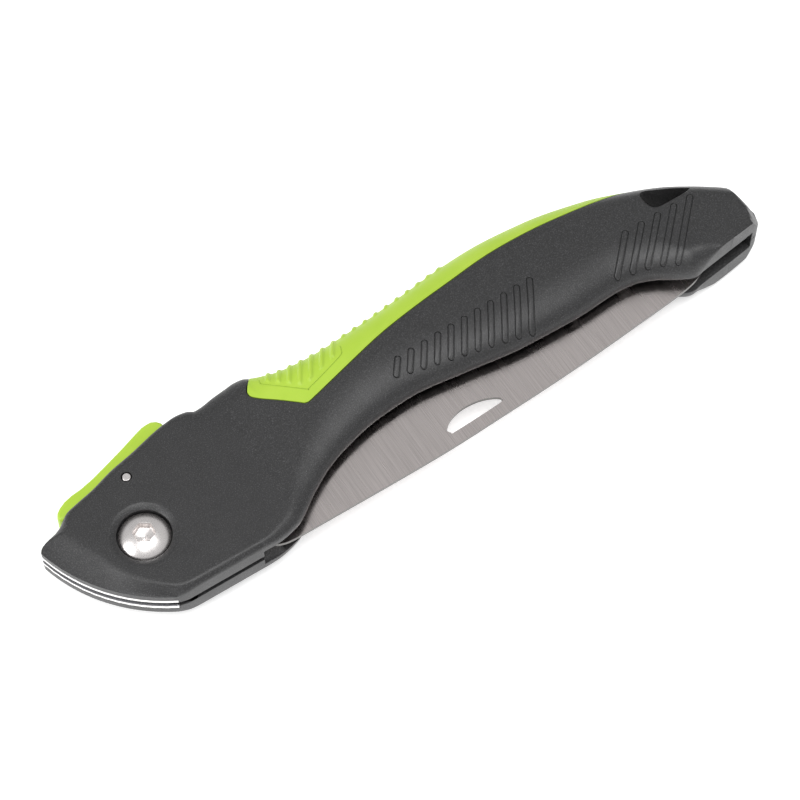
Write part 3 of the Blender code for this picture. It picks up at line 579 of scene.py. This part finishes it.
def pill(bm, foot, head, half_width, levels):
    """A round-ended bar lying on the surface. levels are (inset, height over the surface)."""
    foot, head = Vector(foot), Vector(head)
    along = (head - foot).normalized()
    across = Vector((-along.y, along.x))
    length = (head - foot).length
    cap = [math.radians(a) for a in (90.0, 75.0, 60.0, 45.0, 30.0, 15.0, 5.0)]
    straight = max(int(length), 2)
    rings = []
    for inset, height in levels:
        r = half_width - inset
        track = [(-r * math.sin(a), r * math.cos(a)) for a in cap]
        track += [(length * k / straight, r) for k in range(straight + 1)]
        track += [(length + r * math.sin(a), r * math.cos(a)) for a in reversed(cap)]
        left = [foot + along * s + across * w for s, w in track]
        right = [foot + along * s - across * w for s, w in reversed(track)]
        ring = []
        for point in left + right:
            ring.append(bm.verts.new((point.x, point.y, conformal_z(point.x, point.y) + height)))
        rings.append(ring)
    count = len(rings[0])
    for near, far in zip(rings, rings[1:]):
        for i in range(count):
            j = (i + 1) % count
            bm.faces.new((near[i], near[j], far[j], far[i]))
    half = count // 2
    for ring in (rings[0], rings[-1]):
        for i in range(half - 1):
            bm.faces.new((ring[i], ring[i + 1], ring[count - 2 - i], ring[count - 1 - i]))
    return bm


def rib_lines():
    """Foot and head of each raised grip rib: eleven along the grip, five at the butt."""
    grip = [((81.5 + 3.95 * i, 3.5 - 0.77 * i), (84.2 + 4.43 * i, 7.0 + 0.13 * i)) for i in range(11)]
    butt = [
        ((150.8 + 4.9 * i - 0.18 * i * i, -2.7 - 0.45 * i - 0.24 * i * i), (159.7 + 5.58 * i, 6.5))
        for i in range(5)
    ]
    return [(line, 0.75) for line in grip] + [(line, 0.78) for line in butt]


def grip_ribs(name, grow, levels):
    bm = bmesh.new()
    for (foot, head), half_width in rib_lines():
        pill(bm, foot, head, half_width + grow, levels)
    return finished(name, bm)


def ribbon(name, points, width, low, high):
    """A thin closed strip following the surface along a line of points."""
    path = smooth_outline(points, 6, closed=False) + [points[-1]]
    rings = []
    for i, point in enumerate(path):
        ahead = Vector(path[min(i + 1, len(path) - 1)]) - Vector(path[max(i - 1, 0)])
        side = Vector((-ahead.y, ahead.x)).normalized() * (width / 2)
        here = Vector(point)
        z = conformal_z(here.x, here.y)
        left, right = here + side, here - side
        rings.append([(left.x, left.y, z + low), (right.x, right.y, z + low),
                      (right.x, right.y, z + high), (left.x, left.y, z + high)])
    return ring_loft(name, rings)


def counterbore_tool():
    """Turned cutter for the screw's seat, with a wide shallow chamfer round it."""
    rim = HEAD_HALF - SEAT_CHAMFER_DEPTH
    profile = [
        (0.0, COUNTERBORE_FLOOR), (COUNTERBORE_R, COUNTERBORE_FLOOR), (COUNTERBORE_R, rim - 0.15),
        (COUNTERBORE_R + 0.12, rim), (SEAT_CHAMFER_R - 0.2, HEAD_HALF - 0.05),
        (SEAT_CHAMFER_R, HEAD_HALF + 0.02), (SEAT_CHAMFER_R, HEAD_HALF + 0.3), (0.0, HEAD_HALF + 0.3),
    ]
    return turned("seat_tool", profile)


def lanyard_tool():
    outline = smooth_outline(LANYARD_OUTLINE, 4)
    rings = []
    for z, grow in ((PAST_PARTING, 0.0), (GRIP_HALF - 0.5, 0.0), (GRIP_HALF + 0.3, 0.7)):
        rings.append([(x, y, z) for x, y in grown(outline, grow)])
    return ring_loft("lanyard_tool", rings)


def blade_sweep_outline():
    """Room for the turning blade, and where it crosses the edge between the liners and the bay."""
    crossing = [
        (29.95, -13.5), (34.9, -4.65), (41.65, 3.15), (48.0, 7.0), (47.0, 8.6), (40.55, 4.6), (33.4, -3.6),
    ]
    return [(-32.0, 24.0), (-32.0, -26.0), (29.5, -26.0)] + crossing + [(0.0, 0.0), (-19.3, 24.0)]


def lever_slot_outline():
    front, rear = LEVER_SLOT_X
    return [(front, lock_line(front)), (LEVER_AXIS.x, lock_line(LEVER_AXIS.x)),
            (rear, lock_line(rear)), (rear, PAST_SPINE), (front, PAST_SPINE)]


def inlay_outline():
    lower = smooth_outline(INLAY_LOWER_EDGE, 4, closed=False)
    front = smooth_outline(INLAY_FRONT_EDGE, 4, closed=False)
    return lower + [INLAY_LOWER_EDGE[-1], (173.6, 34.0)] + front + [INLAY_FRONT_EDGE[-1]]


def shell_front():
    """Front half: outer surface, then everything that is hollow in it."""
    shell = handle_block("shell_front", stations(NOSE_X, BUTT_X, 0.8))
    skin = handle_block("recess_tool", stations(44.0, 175.5, 1.6), inset=1.7,
                        floor=UNDER_INLAY_FLOOR, count=40)
    recess = combine(prism("recess_area", grown(inlay_outline(), INLAY_GAP), -PAST_SURFACE, PAST_SURFACE), skin)
    combine(shell, recess)
    combine(shell, prism("pocket", grown(liner_outline(), POCKET_GAP), PAST_PARTING, POCKET_HALF))
    combine(shell, prism("sweep", blade_sweep_outline(), PAST_PARTING, SWEEP_HALF))
    combine(shell, prism("bay", bay_outline(), PAST_PARTING, BAY_HALF))
    combine(shell, prism("hollow", hollow_outline(), BAY_HALF - 0.5, HOLLOW_HALF))
    combine(shell, prism("lever_slot", lever_slot_outline(), PAST_PARTING, LEVER_SLOT_HALF))
    combine(shell, counterbore_tool())
    combine(shell, cylinder("pivot_hole", (0.0, 0.0), SCREW_HOLE_R, PAST_PARTING, 6.0))
    combine(shell, cylinder("pin_hole", LEVER_AXIS.xy, 1.5, PAST_PARTING, PAST_SURFACE, 48))
    combine(shell, lanyard_tool())
    combine(shell, grip_ribs("rib_grooves", 0.2, ((0.0, -0.45), (0.0, 1.5))))
    return shell


def mirrored(piece, name):
    """The same shape on the other side of the middle plane."""
    bm = bmesh.new()
    bm.from_mesh(piece.data)
    flip = Matrix.Translation(PIVOT) @ Matrix.Diagonal((1, 1, -1, 1)) @ Matrix.Translation(-PIVOT)
    bmesh.ops.transform(bm, matrix=flip, verts=bm.verts)
    bmesh.ops.reverse_faces(bm, faces=bm.faces)
    mesh = bpy.data.meshes.new(name)
    bm.to_mesh(mesh)
    bm.free()
    copy = bpy.data.objects.new(name, mesh)
    bpy.context.scene.collection.objects.link(copy)
    return copy


def screw_centre(node):
    low, high = node_box(node)
    return ((low.x + high.x) / 2, (low.y + high.y) / 2)


def make_shells(material):
    front = shell_front()
    back = mirrored(front, "shell_back")
    for node in HANDLE_SCREWS:
        low, high = node_box(node)
        centre = screw_centre(node)
        combine(front, cylinder("boss_hole", centre, SHANK_HOLE_R, PAST_PARTING, high.z + 0.4, 32))
        combine(back, cylinder("shank_hole", centre, SHANK_HOLE_R, -PAST_SURFACE, -PAST_PARTING, 32))
        head_r = (high.x - low.x) / 2
        combine(back, cylinder("head_seat", centre, head_r + 0.35, -PAST_SURFACE, -4.9, 48))
    install(front, material, "handle", "grip_plastic", "handle_shell_front")
    install(back, material, "handle", "grip_plastic", "handle_shell_back")
    pads = grip_ribs("grip_ribs_front", 0.0, RIB_LEVELS)
    install(mirrored(pads, "grip_ribs_back"), material, "handle", "grip_plastic")
    install(pads, material, "handle", "grip_plastic")


# Lime inlays

def thumb_relief(x, y, z):
    """Height of the thumb ribs and of the bumps that carry on along the spine."""
    across = x * THUMB_RIB_DIRECTION.y - y * THUMB_RIB_DIRECTION.x
    along = x * THUMB_RIB_DIRECTION.x + y * THUMB_RIB_DIRECTION.y
    phase = (across - THUMB_RIB_FIRST) / THUMB_RIB_PITCH
    number = np.round(phase)
    offset = (phase - number) / 0.28
    ridge = eased(0.0, 0.75, 1 - np.abs(offset))
    feet = [Vector(p) for p in THUMB_RIB_FEET]
    feet_across = [p.x * THUMB_RIB_DIRECTION.y - p.y * THUMB_RIB_DIRECTION.x for p in feet]
    feet_along = [p.x * THUMB_RIB_DIRECTION.x + p.y * THUMB_RIB_DIRECTION.y for p in feet]
    past_foot = along - np.interp(across, feet_across, feet_along)
    on_rib = (number >= 0) & (number < THUMB_RIBS)
    on_bump = (number >= THUMB_RIBS) & (number < SPINE_BUMPS)
    from_spine = spine_rail(x) - y
    body = np.where(on_rib, np.clip(past_foot / 0.7, 0.0, 1.0), 0.0)
    body = np.where(on_bump, np.clip((2.0 - from_spine) / 0.9, 0.0, 1.0), body)
    fade = np.clip((z - 0.2) / 0.8, 0.0, 1.0)
    return 0.5 * ridge * np.sqrt(body) * fade


def make_inlays(material):
    places = np.concatenate((np.arange(44.0, 102.0, 0.17), stations(102.0, 175.0, 0.8)))
    inlay = handle_block("inlay_front", places, count=110, relief=thumb_relief)
    combine(inlay, prism("inlay_area", inlay_outline(), -PAST_SURFACE, PAST_SURFACE), "INTERSECT")
    under = handle_block(
        "under_tool", stations(43.0, 176.0, 1.6), inset=1.5, floor=UNDER_INLAY_FLOOR, count=40,
    )
    combine(inlay, under)
    combine(inlay, ribbon("panel_line", THUMB_PANEL, 0.22, -0.16, 1.2))
    install(mirrored(inlay, "inlay_back"), material, "handle", "inlay_soft", "grip_inlay_back")
    install(inlay, material, "handle", "inlay_soft", "grip_inlay_front")


# Blade

def tang_outline():
    """The tang's disc from the tooth shoulder round to the back shoulder, with its lock notch."""
    points = []
    for angle in np.linspace(35.0, 310.0, 150):
        if abs(angle - NOTCH_ANGLE) > NOTCH_HALF_ANGLE + 0.5:
            points.append((angle, TANG_R))
    for offset, depth in ((-1.0, 0.0), (-0.78, NOTCH_DEPTH), (0.78, NOTCH_DEPTH), (1.0, 0.0)):
        points.append((NOTCH_ANGLE + offset * NOTCH_HALF_ANGLE, TANG_R - depth))
    return [polar(radius, angle) for angle, radius in sorted(points)]


def make_blade(material):
    """The blade as two outlines, one a face: each tooth is ground back on alternate faces."""
    body = tang_outline() + smooth_outline(BLADE_BACK, 5, closed=False) + [BLADE_BACK[-1]]
    faces = {1: list(body), -1: list(body)}
    for tooth in range(TOOTH_COUNT, 0, -1):
        tip = Vector(tooth_line((tooth - 0.5) / TOOTH_COUNT))
        root = Vector(tooth_line((tooth - 1) / TOOTH_COUNT)) - Vector((0.0, TOOTH_HEIGHT))
        for side in (1, -1):
            ground = TOOTH_GRIND if (tooth % 2 == 0) == (side > 0) else 0.0
            faces[side] += [
                (tip.x + 0.12, tip.y - ground), (tip.x - 0.12, tip.y - ground),
                (root.x + 0.25, root.y - ground * 0.5), (root.x - 0.25, root.y - ground * 0.5),
            ]
    for side in (1, -1):
        faces[side] += [(26.5, 8.7), polar(19.0, 35.0)]
    blade = prism("blade", faces[-1], -BLADE_HALF, BLADE_HALF, faces[1])
    combine(blade, cylinder("bush_hole", (0.0, 0.0), BUSH_HOLE_R, -PAST_BLADE, PAST_BLADE))
    combine(blade, prism("thumb_hole", smooth_outline(THUMB_HOLE, 5), -PAST_BLADE, PAST_BLADE))
    install(blade, material, "blade", "blade_steel", "saw_blade")


# Pivot, lock and small metal

def dome_profile(sign=1):
    """Crown to rim of a button head: a spherical cap on a short straight wall."""
    rise = SCREW_HEAD_TOP - DOME_LOW
    sphere = (SCREW_HEAD_R**2 + rise**2) / (2 * rise)
    points = []
    for radius in SCREW_HEAD_R * np.sin(np.linspace(0.0, 1.0, 24) * math.pi / 2):
        drop = sphere - math.sqrt(sphere**2 - radius**2)
        points.append((radius, sign * (SCREW_HEAD_TOP - drop)))
    points.append((SCREW_HEAD_R, sign * (SCREW_HEAD_LOW + 0.25)))
    points.append((SCREW_HEAD_R - 0.2, sign * SCREW_HEAD_LOW))
    return points


def hexagon(across_flats, turn=0.0):
    return [polar(across_flats / math.sqrt(3), 60.0 * k + turn) for k in range(6)]


def make_pivot(steel, bronze):
    profile = dome_profile() + [(3.9, SCREW_HEAD_LOW), (3.9, -6.6), (3.5, -7.0), (0.0, -7.0)]
    screw = turned("pivot_screw_head", profile, steps=128)
    socket_floor = SCREW_HEAD_TOP - 3.0
    outer = hexagon(5.2, 27.0)
    rings = [
        [(x * 0.1, y * 0.1, socket_floor - 0.8) for x, y in outer],
        [(x * 0.96, y * 0.96, socket_floor) for x, y in outer],
        [(x, y, SCREW_HEAD_TOP - 0.75) for x, y in outer],
        [(x * 1.25, y * 1.25, SCREW_HEAD_TOP + 0.1) for x, y in outer],
    ]
    combine(screw, ring_loft("hex_tool", rings))
    install(screw, steel, "handle", "fastener_steel", "pivot_screw")
    socket = [(0.0, -7.2), (4.1, -7.2), (4.1, -SCREW_HEAD_LOW)]
    nut = turned("pivot_nut_head", socket + dome_profile(-1)[::-1], steps=128)
    for turn in (90.0, 270.0):
        x, y = polar(4.4, turn)
        combine(nut, cylinder("spanner_hole", (x, y), 0.8, -PAST_SURFACE, -7.0, 32))
    install(nut, steel, "handle", "fastener_steel", "pivot_nut")
    for node in ("pivot_bush", "washer_front", "washer_back"):
        low, high = node_box(node)
        inner = SCREW_HOLE_R if node == "pivot_bush" else BUSH_HOLE_R
        outer_r = high.x
        c = 0.04
        ring = [
            (outer_r - c, high.z), (outer_r, high.z - c), (outer_r, low.z + c), (outer_r - c, low.z),
            (inner + c, low.z), (inner, low.z + c), (inner, high.z - c), (inner + c, high.z),
        ]
        install(turned(node + "_ring", ring), bronze, "handle", "bearing_bronze", node)


def make_lever(lime, steel, polished):
    under = [(LEVER_AXIS.x, lock_line(LEVER_AXIS.x) + 0.4), (-12.3, 15.4)]
    half = node_box("lock_button")[1].z
    button = prism("lever_button", under + list(LEVER_TOP), -half, half)
    bevelled(button, 1.1, 5, angle=50.0)
    core_half = node_box("lock_lever")[1].z + 0.12
    slot = [(-8.8, 15.0), (16.6, 15.0), (16.6, 25.6), (15.0, 26.8), (-8.4, 20.4)]
    combine(button, prism("core_slot", slot, -core_half, core_half))
    install(button, lime, "lever", "lever_plastic", "lock_button")
    core = fine_copy("lock_lever", "lever_core", 0.12)
    install(core, steel, "lever", "liner_steel", "lock_lever")
    for node, chamfer in (("lever_pin", 0.15), ("open_stop_pin", 0.1), ("closed_stop_pin", 0.1)):
        low, high = node_box(node)
        radius = (high.x - low.x) / 2 - 0.05
        profile = [
            (0.0, high.z), (radius - chamfer, high.z), (radius, high.z - chamfer),
            (radius, low.z + chamfer), (radius - chamfer, low.z), (0.0, low.z),
        ]
        centre = ((high.x + low.x) / 2, (high.y + low.y) / 2)
        pin = turned(node + "_turned", profile, centre, 64)
        install(pin, polished, "handle", "fastener_steel", node)


def make_liners(material):
    for label in ("front", "back"):
        liner = fine_copy(f"liner_{label}", f"liner_plate_{label}", 0.12)
        install(liner, material, "handle", "liner_steel", f"liner_{label}")


def make_spring(material):
    low, high = node_box("lever_spring")
    centre_x, centre_z = (low.x + high.x) / 2, (low.z + high.z) / 2
    wire_r = 0.3
    coil_r = (high.z - low.z) / 2 - wire_r
    turns, steps, sides = 5, 36, 12
    rings = []
    for k in range(turns * steps + 1):
        angle = 2 * math.pi * k / steps
        share = k / (turns * steps)
        centre = Vector((
            centre_x + coil_r * math.cos(angle),
            low.y + wire_r + (high.y - low.y - 2 * wire_r) * share,
            centre_z + coil_r * math.sin(angle),
        ))
        outward = Vector((math.cos(angle), 0.0, math.sin(angle)))
        ring = []
        for side in range(sides):
            turn = 2 * math.pi * side / sides
            upright = Vector((0.0, wire_r * math.sin(turn), 0.0))
            ring.append(centre + outward * wire_r * math.cos(turn) + upright)
        rings.append(ring)
    spring = ring_loft("lever_spring_coil", rings)
    install(spring, material, "handle", "spring_steel", "lever_spring")
    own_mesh(spring)


def make_handle_screws(material):
    for node in HANDLE_SCREWS:
        low, high = node_box(node)
        head_r = (high.x - low.x) / 2
        profile = [(0.0, high.z), (1.0, high.z - 0.4), (1.45, high.z - 1.4), (1.45, -5.0), (head_r, -5.0)]
        for angle in np.linspace(0.0, 90.0, 8):
            a = math.radians(angle)
            profile.append((head_r - 0.8 + 0.8 * math.cos(a), low.z + 0.9 - 0.9 * math.sin(a)))
        profile.append((0.0, low.z))
        centre = screw_centre(node)
        screw = turned(node + "_turned", profile, centre, 64)
        lobes = []
        for k in range(36):
            angle = 10.0 * k
            x, y = polar(1.25 + 0.25 * math.cos(math.radians(6 * angle)), angle)
            lobes.append((centre[0] + x, centre[1] + y))
        combine(screw, prism("drive", lobes, low.z - 1.0, low.z + 1.0))
        install(screw, material, "handle", "fastener_steel", node)


# Materials

class Nodes:
    """A short way to write one material's node tree."""

    def __init__(self, name, colour, roughness, metallic=0.0):
        self.material = bpy.data.materials.new(name)
        self.material.use_nodes = True
        self.tree = self.material.node_tree
        self.shader = self.tree.nodes["Principled BSDF"]
        self.shader.inputs["Base Color"].default_value = (*colour, 1.0)
        self.shader.inputs["Roughness"].default_value = roughness
        self.shader.inputs["Metallic"].default_value = metallic
        self.coordinates = self.tree.nodes.new("ShaderNodeTexCoord").outputs["Object"]
        self.normal = None

    def link(self, source, target):
        self.tree.links.new(source, target)

    def stretched(self, scale):
        mapping = self.tree.nodes.new("ShaderNodeMapping")
        mapping.inputs["Scale"].default_value = scale
        self.link(self.coordinates, mapping.inputs["Vector"])
        return mapping.outputs["Vector"]

    def noise(self, size, detail=2.0, stretch=(1.0, 1.0, 1.0), roughness=0.5):
        """Noise whose features are about size millimetres across."""
        texture = self.tree.nodes.new("ShaderNodeTexNoise")
        texture.inputs["Scale"].default_value = 1.0 / (size * MM)
        texture.inputs["Detail"].default_value = detail
        texture.inputs["Roughness"].default_value = roughness
        self.link(self.stretched(stretch), texture.inputs["Vector"])
        return texture.outputs["Fac"]

    def ramp(self, value, low, high, from_low=0.3, from_high=0.7):
        spread = self.tree.nodes.new("ShaderNodeMapRange")
        spread.inputs["From Min"].default_value = from_low
        spread.inputs["From Max"].default_value = from_high
        spread.inputs["To Min"].default_value = low
        spread.inputs["To Max"].default_value = high
        self.link(value, spread.inputs["Value"])
        return spread.outputs["Result"]

    def colours(self, value, *stops):
        ramp = self.tree.nodes.new("ShaderNodeValToRGB")
        elements = ramp.color_ramp.elements
        while len(elements) < len(stops):
            elements.new(0.5)
        for element, (place, colour) in zip(elements, stops):
            element.position = place
            element.color = (*colour, 1.0)
        self.link(value, ramp.inputs["Fac"])
        self.link(ramp.outputs["Color"], self.shader.inputs["Base Color"])

    def roughen(self, value, low, high, from_low=0.3, from_high=0.7):
        self.link(self.ramp(value, low, high, from_low, from_high), self.shader.inputs["Roughness"])

    def bump(self, value, depth, strength=1.0):
        """Raises the surface by up to depth millimetres."""
        node = self.tree.nodes.new("ShaderNodeBump")
        node.inputs["Strength"].default_value = strength
        node.inputs["Distance"].default_value = depth * MM
        self.link(value, node.inputs["Height"])
        if self.normal:
            self.link(self.normal, node.inputs["Normal"])
        self.normal = node.outputs["Normal"]
        self.link(self.normal, self.shader.inputs["Normal"])

    def flatness(self):
        """1 on a face that lies flat, 0 on an upright one."""
        geometry = self.tree.nodes.new("ShaderNodeNewGeometry")
        parts = self.tree.nodes.new("ShaderNodeSeparateXYZ")
        self.link(geometry.outputs["True Normal"], parts.inputs["Vector"])
        facing = self.tree.nodes.new("ShaderNodeMath")
        facing.operation = "ABSOLUTE"
        self.link(parts.outputs["Z"], facing.inputs[0])
        return facing.outputs["Value"]

    def paint_shade_on_cut_edges(self, colour):
        """Paints shade on a sheet's upright cut edges as a dark colour; ground and flat faces keep theirs."""
        mix = self.tree.nodes.new("ShaderNodeMixRGB")
        mix.inputs["Color1"].default_value = (*colour, 1.0)
        socket = self.shader.inputs["Base Color"]
        self.link(socket.links[0].from_socket, mix.inputs["Color2"])
        self.link(self.ramp(self.flatness(), 0.0, 1.0, 0.3, 0.55), mix.inputs["Fac"])
        self.link(mix.outputs["Color"], socket)

    def soft_edges(self, radius):
        node = self.tree.nodes.new("ShaderNodeBevel")
        node.samples = 4
        node.inputs["Radius"].default_value = radius * MM
        self.normal = node.outputs["Normal"]
        self.link(self.normal, self.shader.inputs["Normal"])


def grip_plastic():
    """Dark grey glass-filled nylon with a fine spark-eroded grain that glints here and there."""
    look = Nodes("grip_plastic", (0.035, 0.035, 0.037), 0.5)
    look.soft_edges(0.22)
    grain = look.noise(0.28, 1.0)
    blotch = look.noise(7.0, 3.0)
    look.colours(grain, (0.25, (0.015, 0.015, 0.0155)), (0.55, (0.027, 0.027, 0.0275)),
                 (0.85, (0.088, 0.086, 0.090)))
    look.roughen(blotch, 0.33, 0.41)
    look.bump(grain, 0.08, 1.0)
    look.bump(blotch, 0.02, 0.4)
    return look.material


def soft_lime(name, grain_size, depth):
    look = Nodes(name, (0.48, 0.76, 0.05), 0.45)
    look.soft_edges(0.2)
    grain = look.noise(grain_size, 2.0)
    cloud = look.noise(9.0, 2.0)
    look.colours(cloud, (0.3, (0.385, 0.575, 0.042)), (0.7, (0.42, 0.605, 0.055)))
    look.roughen(grain, 0.38, 0.52)
    look.bump(grain, depth, 0.5)
    look.shader.inputs["Subsurface Weight"].default_value = 0.08
    look.shader.inputs["Subsurface Radius"].default_value = (0.0008, 0.0010, 0.0003)
    return look.material


def ground_steel():
    """Cross-ground blade steel: fine lines across the blade's length."""
    look = Nodes("blade_steel", (0.68, 0.63, 0.61), 0.26, 1.0)
    lines = look.noise(0.28, 3.0, (1.0, 0.02, 1.0), 0.6)
    bands = look.noise(3.0, 2.0, (1.0, 0.08, 1.0))
    look.colours(lines, (0.3, (0.60, 0.555, 0.54)), (0.7, (0.76, 0.70, 0.68)))
    look.roughen(bands, 0.22, 0.30)
    look.bump(look.noise(0.28, 1.0, (1.0, 0.02, 1.0)), 0.0015, 0.5)
    # Painted shade: the blade's upright cut edges and hole walls get this dark colour
    look.paint_shade_on_cut_edges((0.16, 0.155, 0.15))
    look.shader.inputs["Anisotropic"].default_value = 0.8
    along = look.tree.nodes.new("ShaderNodeVectorTransform")
    along.vector_type = "VECTOR"
    along.convert_from = "OBJECT"
    along.convert_to = "WORLD"
    along.inputs["Vector"].default_value = (1.0, 0.0, 0.0)
    look.link(along.outputs["Vector"], look.shader.inputs["Tangent"])
    return look.material


def liner_sheet():
    """Stamped sheet: a bright cut edge, and flat faces painted darker as shade between the parts."""
    look = bright_steel_nodes("liner_steel", (0.86, 0.85, 0.84), 0.22)
    # Painted shade: faces that lie flat are coloured darker than the upright cut edges
    look.colours(look.flatness(), (0.5, (0.86, 0.85, 0.84)), (0.8, (0.30, 0.30, 0.31)))
    return look.material


def bright_steel_nodes(name, colour, roughness, depth=0.004):
    look = Nodes(name, colour, roughness, 1.0)
    look.soft_edges(0.1)
    fine = look.noise(0.3, 3.0)
    worn = look.noise(2.5, 3.0)
    look.colours(worn, (0.3, tuple(c * 0.93 for c in colour)), (0.7, colour))
    look.roughen(fine, roughness * 0.8, roughness * 1.3)
    look.bump(fine, depth, 0.5)
    return look


def bright_steel(name, colour, roughness, depth=0.004):
    return bright_steel_nodes(name, colour, roughness, depth).material


# Camera, floor and light

def look_at(place, target, up=Vector((0.0, 0.0, 1.0))):
    forward = (target - place).normalized()
    right = forward.cross(up).normalized()
    above = right.cross(forward)
    return Matrix((
        (right.x, above.x, -forward.x, place.x),
        (right.y, above.y, -forward.y, place.y),
        (right.z, above.z, -forward.z, place.z),
        (0.0, 0.0, 0.0, 1.0),
    ))


def make_camera():
    """Seen from the belly side, turned 33 degrees, from 60 degrees above the table."""
    camera = bpy.data.objects.new("camera", bpy.data.cameras.new("camera"))
    camera.data.sensor_width = 36.0
    camera.data.lens = 119.7
    place = PIVOT + Vector((-117.7, -305.0, 631.6)) * MM
    turn, rise = math.radians(33.0), math.radians(60.0)
    flat = Vector((math.sin(turn), math.cos(turn), 0.0)) * math.cos(rise)
    camera.matrix_world = look_at(place, place + flat - Vector((0.0, 0.0, math.sin(rise))))
    bpy.context.scene.collection.objects.link(camera)
    bpy.context.scene.camera = camera


def make_floor():
    bm = bmesh.new()
    size = Matrix.Translation((0.0, 0.0, CAD_BOX[0][2] - 0.0002)) @ Matrix.Scale(6.0, 4)
    bmesh.ops.create_grid(bm, x_segments=1, y_segments=1, size=0.5, matrix=size)
    mesh = bpy.data.meshes.new("floor")
    bm.to_mesh(mesh)
    bm.free()
    floor = bpy.data.objects.new("floor", mesh)
    bpy.context.scene.collection.objects.link(floor)
    paper = Nodes("floor_paper", (0.90, 0.90, 0.90), 0.8)
    paper.bump(paper.noise(1.2, 2.0), 0.01, 0.3)
    paper.shader.inputs["Emission Color"].default_value = (1.0, 1.0, 1.0, 1.0)
    paper.shader.inputs["Emission Strength"].default_value = 0.5
    mesh.materials.append(paper.material)


def area_light(name, place, target, width, depth, watts):
    light = bpy.data.lights.new(name, "AREA")
    light.shape = "RECTANGLE"
    light.size = width
    light.size_y = depth
    light.energy = watts
    holder = bpy.data.objects.new(name, light)
    holder.matrix_world = look_at(Vector(place), Vector(target), Vector((0.0, 1.0, 0.01)))
    bpy.context.scene.collection.objects.link(holder)


def make_light():
    world = bpy.data.worlds.new("studio")
    world.use_nodes = True
    world.node_tree.nodes["Background"].inputs["Color"].default_value = (0.98, 0.98, 0.985, 1.0)
    world.node_tree.nodes["Background"].inputs["Strength"].default_value = 0.55
    bpy.context.scene.world = world
    area_light("overhead", (-0.06, -0.21, 0.9), (0.0, 0.0, 0.0), 0.8, 0.42, 5.1)
    area_light("left", (-0.8, 0.1, 0.4), (-0.05, 0.0, 0.0), 0.4, 0.4, 3.0)


def main():
    bpy.context.scene.view_settings.view_transform = "Standard"
    make_camera()
    make_floor()
    make_light()
    plastic = grip_plastic()
    steel = liner_sheet()
    polished = bright_steel("fastener_steel", (0.89, 0.855, 0.84), 0.30, depth=0.002)
    bronze = bright_steel("bearing_bronze", (0.55, 0.36, 0.16), 0.35)
    wire = bright_steel("spring_steel", (0.45, 0.45, 0.46), 0.28)
    make_shells(plastic)
    make_inlays(soft_lime("inlay_lime", 0.35, 0.012))
    make_blade(ground_steel())
    make_pivot(polished, bronze)
    make_lever(soft_lime("lever_lime", 0.3, 0.010), steel, polished)
    make_liners(steel)
    make_spring(wire)
    make_handle_screws(polished)


main()
